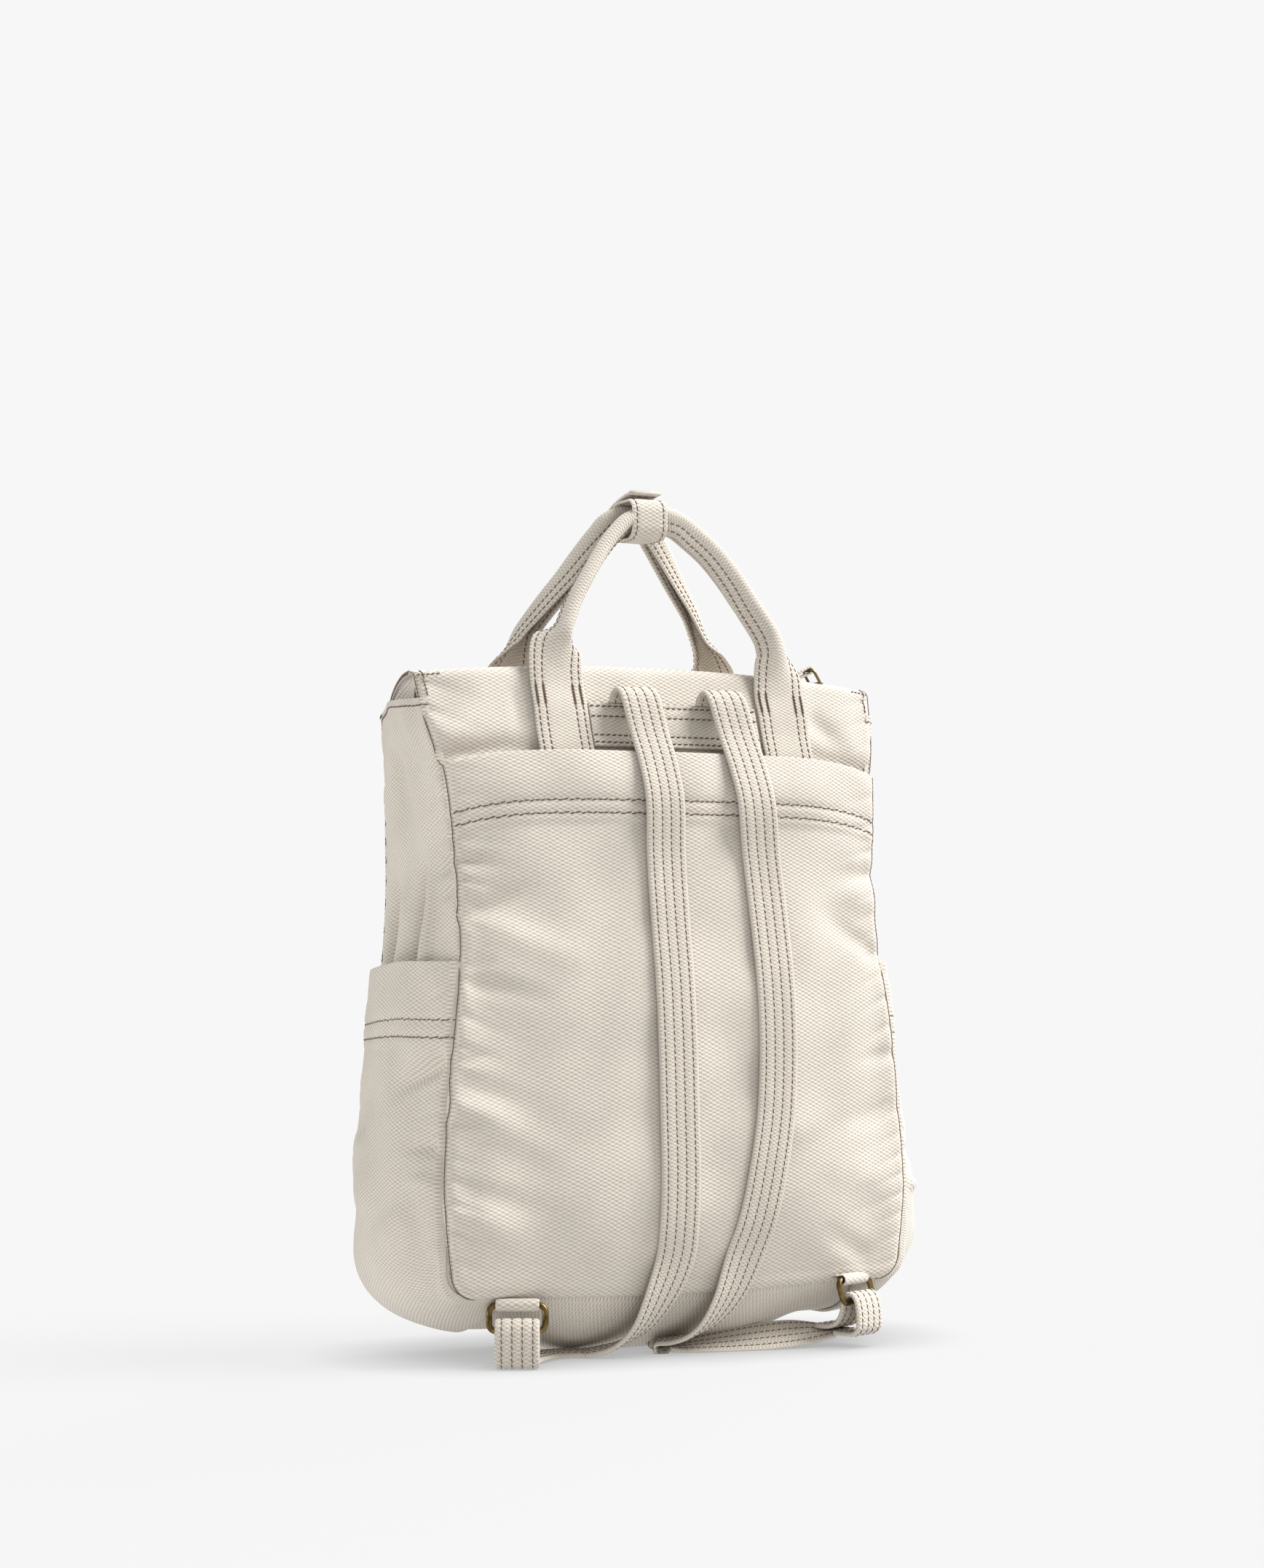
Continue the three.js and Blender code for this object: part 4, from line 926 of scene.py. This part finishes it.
# A ring: a rectangle of wire with round corners, upright between its tab and the strap's loop
def ringPiece(side):
    turn = math.radians(ring["turn"])
    bar = np.array([math.cos(turn), sides[side] * math.sin(turn), 0])
    top = besideRing(side, ring["topOut"], ring["topHeight"])
    low = besideRing(side, ring["lowOut"], ring["lowHeight"])
    upright = unit(top - low)
    x, z = roundedPath(ring["width"], np.linalg.norm(top - low), ring["corner"])
    path = (top + low) / 2 + x[:, None] * bar + z[:, None] * upright
    seat(wireLoop(f"ring_{side}_wire", path, ring["wire"], brass), "brass", f"ring_{side}")


# A strip folded round the ring's upper bar, both tails in the bottom seam
def ringTab(side):
    reach = ring["wire"] / 2 + bag["gap"] + tab["thickness"] / 2
    tail = tab["thickness"] / 2 + bag["gap"] / 2
    angle = np.radians(np.arange(*tab["turns"]))
    out = np.concatenate([tab["seam"], ring["topOut"] + reach * np.cos(angle), tab["seam"][::-1]])
    ends = ring["topHeight"] + tab["rise"] + np.array([tail, tail, -tail, -tail])
    z = np.concatenate([ends[:2], ring["topHeight"] + reach * np.sin(angle), ends[2:]])
    stops = stopsAt(*besideRing(side, out, z).T, sides[side] * ring["turn"])
    path = pathThrough(stops, tab["spacing"])
    seat(ribbonPiece(f"ring_tab_{side}_cloth", path, tab, canvas), "canvas", f"ring_tab_{side}")


for side in sides:
    path = strapPath(side)
    seat(ribbonPiece(f"strap_{side}_cloth", path, strap, webbing), "strapping", f"strap_{side}")
    stitchPiece(f"strap_{side}_thread", ribbonRows(path, strap), pitch=3.4, length=3.0, thick=0.68)
    ringPiece(side)
    ringTab(side)
print("straps and rings made")

# The band that the straps are sewn into, flat on the back between the handles' feet

band = dict(low=330, high=354, left=-46.5, right=57, columns=70, heights=40, thickness=2.2, rounding=0.8,
            clear=0.3, rows=(352.2, 346.5, 336, 332), press=0.3, pressWide=1.3)


# The band's outer face: its thickness off the back panel, pressed in along its stitch rows
def bandFace(x, z):
    y = backFace(x, z) - bag["gap"] - band["clear"] - band["thickness"] + rowPress(band, z)
    return np.stack(np.broadcast_arrays(x, y, z), -1)


bandX = np.linspace(band["left"], band["right"], band["columns"])
bandZ = np.linspace(band["low"], band["high"], band["heights"])[:, None]
bandPoints = bandFace(bandX, bandZ)
bandPiece = makePiece("strap_band_cloth", bandPoints, bandPoints[..., [0, 2]], webbing)
seat(thicken(bandPiece, band["thickness"], band["rounding"]), "strapping", "strap_band")
bandLines = [(bandFace(bandX, row + 0 * bandX), np.array([0, -1.0, 0])) for row in band["rows"]]
stitchPiece("strap_band_thread", bandLines, thick=0.95)

# Handles: a flat strip at both feet that folds in half along its length into the grip

handle = dict(width=32, thickness=2.4, rows=(-13.2, -8.8, 8.8, 13.2), columns=41, spacing=2.0, bend=4.6,
              clear=0.2, tack=(351, 364), legFrom=40)
# Each leg from foot to grip: "free" goes from lying on the panel to standing clear, "fold" from a flat
# strip to one folded in half, and "turn" is the way its fold faces, from square to the panel to outwards
handleRise = dict(
    z=[306, 322, 338, 350, 362, 374, 386, 392, 398, 412, 427, 441, 451, 458],
    back=[-46.5, -43, -38.5, -34, -29, -27, -25.5, -24.5, -23.5, -20.5, -17.5, -14, -11.5, -9.5],
    front=[63, 59, 54.5, 51, 43, 37, 31, 28, 25, 18.5, 13, 8.5, 5, 3],
    free=[0, 0, 0, 0.5, 1, 1, 1, 1, 1, 1, 1, 1, 1, 1],
)
handleLegs = dict(
    back=(
        dict(x=[-63, -63, -63, -63, -63, -63, -61, -58.4, -55.8, -48.7, -38.9, -28.7, -19.6, -10.3],
             fold=[0, 0, 0, 0, 0, 0.02, 0.3, 0.78, 1, 1, 1, 1, 1, 1],
             turn=[0, 0, 0, 0, 0, 0, 4, 6, 8, 12, 16, 20, 24, 30]),
        dict(x=[75, 75, 75, 75, 75, 75.6, 74.8, 72.4, 69, 59.3, 50, 39.5, 28.5, 19],
             fold=[0, 0, 0, 0, 0.02, 0.1, 0.45, 0.66, 0.85, 1, 1, 1, 1, 1],
             turn=[0, 0, 0, 0, 0, 6, 24, 36, 46, 62, 72, 78, 82, 84]),
    ),
    front=(
        dict(x=[-63, -63, -63, -63, -63, -63, -61, -59.4, -57.3, -48.5, -37.5, -27.8, -20.5, -14.5],
             fold=[0, 0, 0, 0, 0.02, 0.15, 0.6, 0.8, 0.94, 1, 1, 1, 1, 1],
             turn=[0, 0, 0, 0, 0, 4, 8, 12, 16, 26, 38, 50, 62, 74]),
        dict(x=[66, 66, 66, 66, 66, 65, 61, 57, 52.4, 43, 30.8, 20, 12, 6],
             fold=[0, 0, 0, 0, 0.02, 0.15, 0.6, 0.8, 0.94, 1, 1, 1, 1, 1],
             turn=[0, 0, 0, 0, 0, 8, 20, 28, 34, 46, 56, 66, 74, 80]),
    ),
)
handleCrown = dict(z=461, back=-9, front=2.5)


# Face of the front panel straight before a place
def frontFace(x, z):
    u = x / section("half", z)
    return section("front", z) + section("frontOut", z) * (1 - np.abs(u) ** bag["panelPower"])


# Up the left leg, over the middle of the grip and down the right leg
def handlePath(side):
    left, right = handleLegs[side]
    middle = {column: (left[column][-1] + right[column][-1]) / 2 for column in left}
    stops = {column: left[column] + [middle[column]] + right[column][::-1] for column in left}
    stops["z"] = handleRise["z"] + [handleCrown["z"]] + handleRise["z"][::-1]
    stops["y"] = handleRise[side] + [handleCrown[side]] + handleRise[side][::-1]
    stops["free"] = handleRise["free"] + [1] + handleRise["free"][::-1]
    return pathThrough(stops, handle["spacing"])


# A place on the handle: s across the strip, h out of its middle layer. Across the strip the cloth turns
# through fold * 90 degrees to each side within "bend" and then runs straight, and the folded strip is
# turned about the path by "turn". Returns points and outward directions.
def handleSurface(path, side, s, h):
    outward = -1.0 if side == "back" else 1.0
    points = np.stack([path[axis] for axis in "xyz"], -1)
    along = unit(np.gradient(points, axis=0))
    away = unit(np.stack([-along[:, 2], 0 * along[:, 2], along[:, 0]], -1))
    facing = np.array([0, outward, 0])
    facing = unit(facing - along * np.sum(facing * along, -1, keepdims=True))
    twist = np.radians(path["turn"])[:, None]
    crease = np.cos(twist) * facing + np.sin(twist) * away
    level = np.cos(twist) * away - np.sin(twist) * facing
    fold = np.clip(path["fold"], 0, 1)[:, None] * math.pi / 2
    rate = np.maximum(fold / handle["bend"], 1e-6)

    # Sideways and backwards reach of the cloth at a distance from its middle: an arc, then straight
    def bent(reach):
        near = np.minimum(reach, handle["bend"])
        rest = reach - near
        sideways = np.sin(rate * near) / rate + np.cos(fold) * rest
        return sideways, (1 - np.cos(rate * near)) / rate + np.sin(fold) * rest

    across, back = bent(np.abs(s)[None, :])
    depth = bent(np.array([[handle["width"] / 2]]))[1]
    lean = np.sign(s)[None, :] * np.minimum(rate * np.abs(s)[None, :], fold)
    normal = np.cos(lean)[..., None] * crease[:, None] + np.sin(lean)[..., None] * level[:, None]
    flat = level[:, None] * (np.sign(s)[None, :] * across)[..., None]
    grid = points[:, None] + flat - crease[:, None] * (back - depth / 2)[..., None]
    grid = grid + normal * np.broadcast_to(h, across.shape)[..., None]
    face = backFace if side == "back" else frontFace
    proud = bag["gap"] + handle["clear"] + handle["thickness"] / 2 + h
    lying = face(grid[..., 0], grid[..., 2]) + outward * proud
    free = np.clip(path["free"], 0, 1)[:, None]
    grid[..., 1] = lying + (grid[..., 1] - lying) * free
    return grid, normal


for side in ("back", "front"):
    path = handlePath(side)
    s, half, girth = stripLoop(handle, handle["columns"])
    grid, _ = handleSurface(path, side, s, half)
    run = runLength(grid[:, handle["columns"] // 2])
    uv = np.stack(np.broadcast_arrays(girth[None, :], run[:, None]), -1)
    piece = makePiece(f"handle_{side}_cloth", grid, uv, webbing, loop=True, lids=True)
    seat(piece, "strapping", f"handle_{side}")
    rows = np.array(handle["rows"])
    low, high = handle["tack"]
    lines = []
    tacks = []
    for facing in (1, -1):
        points, normals = handleSurface(path, side, rows, stripHalf(rows, handle) * facing)
        lines += [(points[:, k], normals[:, k] * facing) for k in range(len(rows))]
        if facing > 0:
            for leg in (path["x"] < -handle["legFrom"], path["x"] > handle["legFrom"]):
                inside = leg & (path["z"] > low) & (path["z"] < high)
                tacks += [(points[inside, k], normals[inside, k]) for k in range(len(rows))]
    stitchPiece(f"handle_{side}_thread", lines)
    stitchPiece(f"handle_{side}_tacks", tacks, pitch=1.6, length=2.2, thick=1.5)
print("handles made")

# The keeper that bundles both handles, with its tail lying over the top

keeper = dict(y=-3.2, z=460, depth=26, height=21.6, radius=7, width=22, thickness=2, rows=(-8.2, 8.2))
keeperTail = dict(
    width=20, thickness=2.2, rows=(), spacing=1.2, hemAt=3, hemHalf=8.5, hemStops=12,
    y=[-11, -4, 4, 11, 19, 24.2, 24.6, 20, 12.5],
    rise=[3.6, 2.6, 0.9, -1.2, -4.4, -7.4, -9.6, -10.6, -9.6],
)
keeperY, keeperZ = roundedPath(keeper["depth"], keeper["height"], keeper["radius"])
wrapPath = stopsAt(0, keeper["y"] + keeperY, keeper["z"] + keeperZ, 0)
seat(ribbonPiece("handle_keeper_cloth", wrapPath, keeper, canvas, ring=True), "canvas", "handle_keeper")
roof = keeper["z"] + keeper["height"] / 2 + keeper["thickness"] / 2
tailStops = stopsAt(0, keeperTail["y"], roof + np.array(keeperTail["rise"]), 0)
tailPath = pathThrough(tailStops, keeperTail["spacing"])
seat(ribbonPiece("keeper_tail_cloth", tailPath, keeperTail, canvas), "canvas")
keeperLines = ribbonRows(wrapPath, keeper)
place, _, across, out = (column[keeperTail["hemAt"]] for column in ribbonFrame(tailPath))
hemSpots = np.linspace(-keeperTail["hemHalf"], keeperTail["hemHalf"], keeperTail["hemStops"])
for face in (1, -1):
    hemLine = place + across * hemSpots[:, None] + out * keeperTail["thickness"] / 2 * face
    keeperLines.append((hemLine, out * face))
stitchPiece("handle_keeper_thread", keeperLines, thick=0.7)

# The zip along the mouth: tapes, metal teeth, slider, pull and its tab

zipper = dict(half=137, corner=366, crown=4, line=-11, drop=2.2, stops=21, spacing=4, slider=110)
zipTapes = dict(back=dict(y=-15.8, drop=2.6, width=5.4, thickness=1, rows=()),
                front=dict(y=-4.6, drop=2.9, width=8.8, thickness=1, rows=()))
tooth = dict(pitch=2.1, aside=0.7, length=2.6, thick=1.5)


# Height of the closed zip across the mouth: a parabola that falls to the corners
def zipHeight(x):
    half = float(section("half", zipper["corner"]))
    return zipper["corner"] + zipper["crown"] * (1 - (x / half) ** 2)


# Stops across the mouth at one depth, a drop below the zip's height
def zipStops(y, drop):
    x = np.linspace(-zipper["half"], zipper["half"], zipper["stops"])
    return stopsAt(x, y, zipHeight(x) - drop, 90)


for name, tape in zipTapes.items():
    path = pathThrough(zipStops(tape["y"], tape["drop"]), zipper["spacing"])
    piece = ribbonPiece(f"zip_tape_{name}_cloth", path, tape, zipCloth, count=13)
    seat(piece, "zip_tape", f"zip_tape_{name}")
teethPath = pathThrough(zipStops(zipper["line"], zipper["drop"]), tooth["pitch"] / 2)
teeth = ribbonFrame(teethPath)[0]
sideways = np.where(np.arange(len(teeth)) % 2 == 0, 1.0, -1.0)[:, None] * np.array([[0, 1.0, 0]])
upwards = np.array([[0, 0, 1.0]]) + 0 * teeth
middles = teeth + sideways * tooth["aside"]
teethPiece = capsules("zip_teeth", middles, sideways, upwards, tooth["length"], tooth["thick"], brass)
seat(teethPiece, "brass", "zip_coil")
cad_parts["zip_slider"].data.materials.clear()
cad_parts["zip_slider"].data.materials.append(brass)

pull = dict(width=12, height=11, radius=2.6, wire=1.6, lean=32, overZip=1.1, overSlider=3.3)
pullTab = dict(width=6, thickness=1.2, rows=(), stitches=(-1.6,), clear=0.3, turns=(115, -66, -30),
               reach=15, drops=(6.4, 8.2), spacing=0.8)
zipTop = zipHeight(zipper["slider"]) - zipper["drop"] + pull["overZip"]
lean = math.radians(pull["lean"])
pullUp = np.array([-math.sin(lean), 0, math.cos(lean)])
pullFoot = np.array([zipper["slider"], zipper["line"], zipTop + bag["gap"] + pull["overSlider"]])
pullY, pullZ = roundedPath(pull["width"], pull["height"], pull["radius"])
pullPath = pullFoot + pullUp * (pullZ + pull["height"] / 2)[:, None]
pullPath[:, 1] += pullY
seat(wireLoop("zip_pull_wire", pullPath, pull["wire"], brass), "brass", "zip_pull")
bar = pullFoot + pullUp * pull["height"]
reach = pull["wire"] / 2 + pullTab["clear"] + pullTab["thickness"] / 2
angle = np.radians(np.arange(*pullTab["turns"]))
first, last = pullTab["drops"]
tabX = bar[0] + np.concatenate([[-pullTab["reach"]], reach * np.cos(angle), [-pullTab["reach"]]])
tabZ = bar[2] + np.concatenate([[-first], reach * np.sin(angle), [-last]])
tabPath = pathThrough(stopsAt(tabX, bar[1], tabZ, 90), pullTab["spacing"])
tabPiece = ribbonPiece("zip_pull_tab_cloth", tabPath, pullTab, canvas, count=17)
seat(tabPiece, "canvas", "zip_pull_tab")
tabLines = ribbonRows(tabPath, {**pullTab, "rows": pullTab["stitches"]})
stitchPiece("zip_pull_tab_thread", tabLines, pitch=2.6, length=2.3, thick=0.6)
print("zip made")


# Topstitching of the panels

# Steps in a face's two parameters that show its slope there
faceStep = dict(first=0.002, second=0.3)


# A line over a face given by a function of its two parameters, with the surface's own outward direction
def lineOn(face, first, second, *rest):
    points = face(first, second, *rest)
    along = face(first, second + faceStep["second"], *rest) - points
    across = face(first + faceStep["first"], second, *rest) - points
    out = unit(np.cross(along, across))
    return points, np.where(np.sum(out * (points - insideBag), -1, keepdims=True) < 0, -out, out)


# The slip pocket's face by share of the half width and height
def pocketRow(u, z):
    return pocketFace(u, section("half", z), z)


# One side of the gusset by share of the depth and height
def gussetRow(w, z, sign):
    return gussetFace(section("half", z), z, 0 * z, w, 0, sign)


# A side pocket's face by share of the depth and height
def sidePocketRow(w, z, sign):
    return sidePocketFace(section("half", z), z, 0 * z, w, sign)


# The machine's rows are not quite straight: they waver by a sine
waver = dict(height=0.35, pocket=140, hem=130)
pocketU = np.linspace(-0.99, 0.99, 200)
pocketWaver = waver["height"] * np.sin(pocketU * waver["pocket"])
pocketLines = [lineOn(pocketRow, pocketU, row + pocketWaver) for row in pocket["rows"]]
stitchPiece("back_pocket_thread", pocketLines, pitch=3.3, length=3.6, thick=0.9)

# Seam thread deep in the grooves between gusset and panels, and along the back's free corners
seamSewing = dict(sunk=0.5, inset=0.2, free=4.5, proud=0.1, topShares=(0.9, 0.99, 12), topDrop=2.5,
                  overlap=1)
seamHalf, seamZ, seamAngle = seamLine(bag["topCorner"])
sunk = np.array([0, seamSewing["sunk"], 0])
topHalf = float(section("half", bag["topCorner"]))
topZ = bag["topCorner"] - seamSewing["topDrop"]
low = seamZ < pocket["top"] - seamSewing["overlap"]
high = seamZ > bag["topHem"] + bag["hemRise"]
seams = []
corners = []
for side, sign in sides.items():
    inset = sign * (1 - seamSewing["inset"] / seamHalf)
    lower = pocketFace(inset[low], seamHalf[low], seamZ[low]) - sunk
    upper = backLayer(inset[~low], seamHalf[~low], seamZ[~low], 0) - sunk
    outward = np.stack([sign * np.cos(seamAngle), -1 + 0 * seamAngle, -np.sin(seamAngle)], -1)
    seams.append((np.concatenate([lower, upper]), unit(outward)))
    free = sign * (1 - seamSewing["free"] / seamHalf[high])
    freeEdge = backLayer(free, seamHalf[high], seamZ[high], seamSewing["proud"])
    corners.append((freeEdge, np.array([sign * 0.5, -1, 0])))
    topU = sign * np.linspace(*seamSewing["topShares"])
    topEdge = backLayer(topU, topHalf + 0 * topU, topZ + 0 * topU, seamSewing["proud"])
    corners.append((topEdge, np.array([0, -1, 0.5])))
    seams.append((seamRows[:, edgeColumn[side]] + sunk, unit(np.array([sign, 1.0, 0]))))
stitchPiece("seam_thread", seams, pitch=2.6, length=3.2, thick=0.6)
stitchPiece("corner_thread", corners, pitch=2.4, length=2.3, thick=0.8)

hemDrop = 3.5
hemW = np.linspace(0.0, 1.0, 60)
hemWaver = waver["height"] * np.sin(hemW * waver["hem"])
hemLines = []
for sign in sides.values():
    hemLines.append(lineOn(gussetRow, hemW, bag["topHem"] - hemDrop + hemWaver, sign))
    hemLines += [lineOn(sidePocketRow, hemW, row + hemWaver, sign) for row in sidePocket["rows"]]
stitchPiece("gusset_thread", hemLines, pitch=3.3, length=3.6, thick=0.85)

# The front panel's free edges beside the zip's ends are overcast
overcast = dict(pitch=2.0, length=3.4, thick=0.7, up=0.4)
edges = []
for side, sign in sides.items():
    edges.append((leanRows[:, edgeColumn[side]], np.array([sign, 0, overcast["up"]])))
middles, along, out = stitchPlaces(edges, overcast["pitch"])
over = unit(np.cross(out, along))
overcastPiece = capsules("front_edge_thread", middles, over, out,
                         overcast["length"], overcast["thick"], thread)
seat(overcastPiece, "thread")
print("stitching made")

# Floor, light and camera

# Besides the floor's even glow, these settings give the reach and the darkest glow of the painted shadow
# under the bag
tableTop = dict(radius=9000, corners=96, tint="#404040", roughness=0.95, paintedShadowReach=60, openFrom=0.92,
                under=0.4, clear=0.803)


# A white acrylic table lit from below: cast shadows on it stay light. A painted contact shadow, made from
# ambient occlusion, dims its glow right under the bag
def tableWithPaintedShadow():
    finish, tree, shader = newFinish("tableWithPaintedShadow")
    # Painted shadow: ambient occlusion near the bag turns the floor's glow down towards its darkest value
    paintedShadowAO = addNode(tree, "ShaderNodeAmbientOcclusion", {"samples": 12},
                    {"Distance": tableTop["paintedShadowReach"] * mm})
    glowWithPaintedShadow = addNode(tree, "ShaderNodeMapRange", {},
                   {0: paintedShadowAO.outputs["AO"], 2: tableTop["openFrom"],
                    3: tableTop["under"], 4: tableTop["clear"]})
    tree.links.new(glowWithPaintedShadow.outputs[0], shader.inputs["Emission Strength"])
    shader.inputs["Base Color"].default_value = linear(tableTop["tint"])
    shader.inputs["Emission Color"].default_value = (1, 1, 1, 1)
    shader.inputs["Roughness"].default_value = tableTop["roughness"]
    shader.inputs["Specular IOR Level"].default_value = 0.0
    return finish


angle = np.linspace(0, 2 * math.pi, tableTop["corners"], endpoint=False)
tableRim = tableTop["radius"] * np.stack([np.cos(angle), np.sin(angle), 0 * angle], -1)
floor = meshPiece("floor", tableRim, [list(range(tableTop["corners"]))], None, tableWithPaintedShadow())
floor.visible_shadow = False

# A white wall behind the bag; the ceiling and the wall on the camera's side are dimmer, so that the
# lamps shade it
room = dict(colour="#F7F7F7", ahead=(0.446, 0.895, 0), nearFrom=-0.3, farFrom=0.4, near=0.8, far=1.0,
            wallTo=0.36, ceilingFrom=0.62, wall=1.0, ceiling=0.5)
world = bpy.data.worlds.new("whiteRoom")
world.use_nodes = True
sky = world.node_tree
ray = addNode(sky, "ShaderNodeTexCoord").outputs["Generated"]
rise = addNode(sky, "ShaderNodeSeparateXYZ", {}, {0: ray})
ceiling = addNode(sky, "ShaderNodeMapRange", {"interpolation_type": "SMOOTHSTEP"},
                  {0: rise.outputs[2], 1: room["wallTo"], 2: room["ceilingFrom"],
                   3: room["wall"], 4: room["ceiling"]})
ahead = addNode(sky, "ShaderNodeVectorMath", {"operation": "DOT_PRODUCT"}, {0: ray, 1: room["ahead"]})
walls = addNode(sky, "ShaderNodeMapRange", {"interpolation_type": "SMOOTHSTEP"},
                {0: ahead.outputs["Value"], 1: room["nearFrom"], 2: room["farFrom"],
                 3: room["near"], 4: room["far"]})
strength = addNode(sky, "ShaderNodeMath", {"operation": "MULTIPLY"},
                   {0: ceiling.outputs[0], 1: walls.outputs[0]})
sky.links.new(strength.outputs[0], sky.nodes["Background"].inputs["Strength"])
sky.nodes["Background"].inputs["Color"].default_value = linear(room["colour"])
bpy.context.scene.world = world
bpy.context.scene.view_settings.view_transform = "Standard"

# Lamps: heading and height of the light in degrees, strength and soft angle
lamps = dict(
    keyLight=(70, 52, 6.2, 34),
    fillLight=(-112, 8, 1.15, 18),
    tableLight=(-25, -24, 0.7, 30),
    backLight=(128, 34, 1.7, 24),
)
for name, (azimuth, elevation, energy, spread) in lamps.items():
    lamp = bpy.data.lights.new(name, "SUN")
    lamp.energy = energy
    lamp.angle = math.radians(spread)
    holder = bpy.data.objects.new(name, lamp)
    holder.rotation_euler = (math.radians(90 - elevation), 0, math.radians(azimuth))
    bpy.context.collection.objects.link(holder)

# The camera stands at one heading and looks along another, so that the bag is a little off the middle
view = dict(stands=-26.5, looks=-26.405, pitch=3.28, distance=1731, height=213, lens=70.9)
camera = bpy.data.objects.new("camera", bpy.data.cameras.new("camera"))
bpy.context.collection.objects.link(camera)
heading = math.radians(view["stands"])
away = view["distance"] * mm
camera.location = (away * math.sin(heading), -away * math.cos(heading), view["height"] * mm)
camera.rotation_euler = (math.radians(90 + view["pitch"]), 0, math.radians(view["looks"]))
camera.data.lens = view["lens"]
bpy.context.scene.camera = camera

print("scene ready")
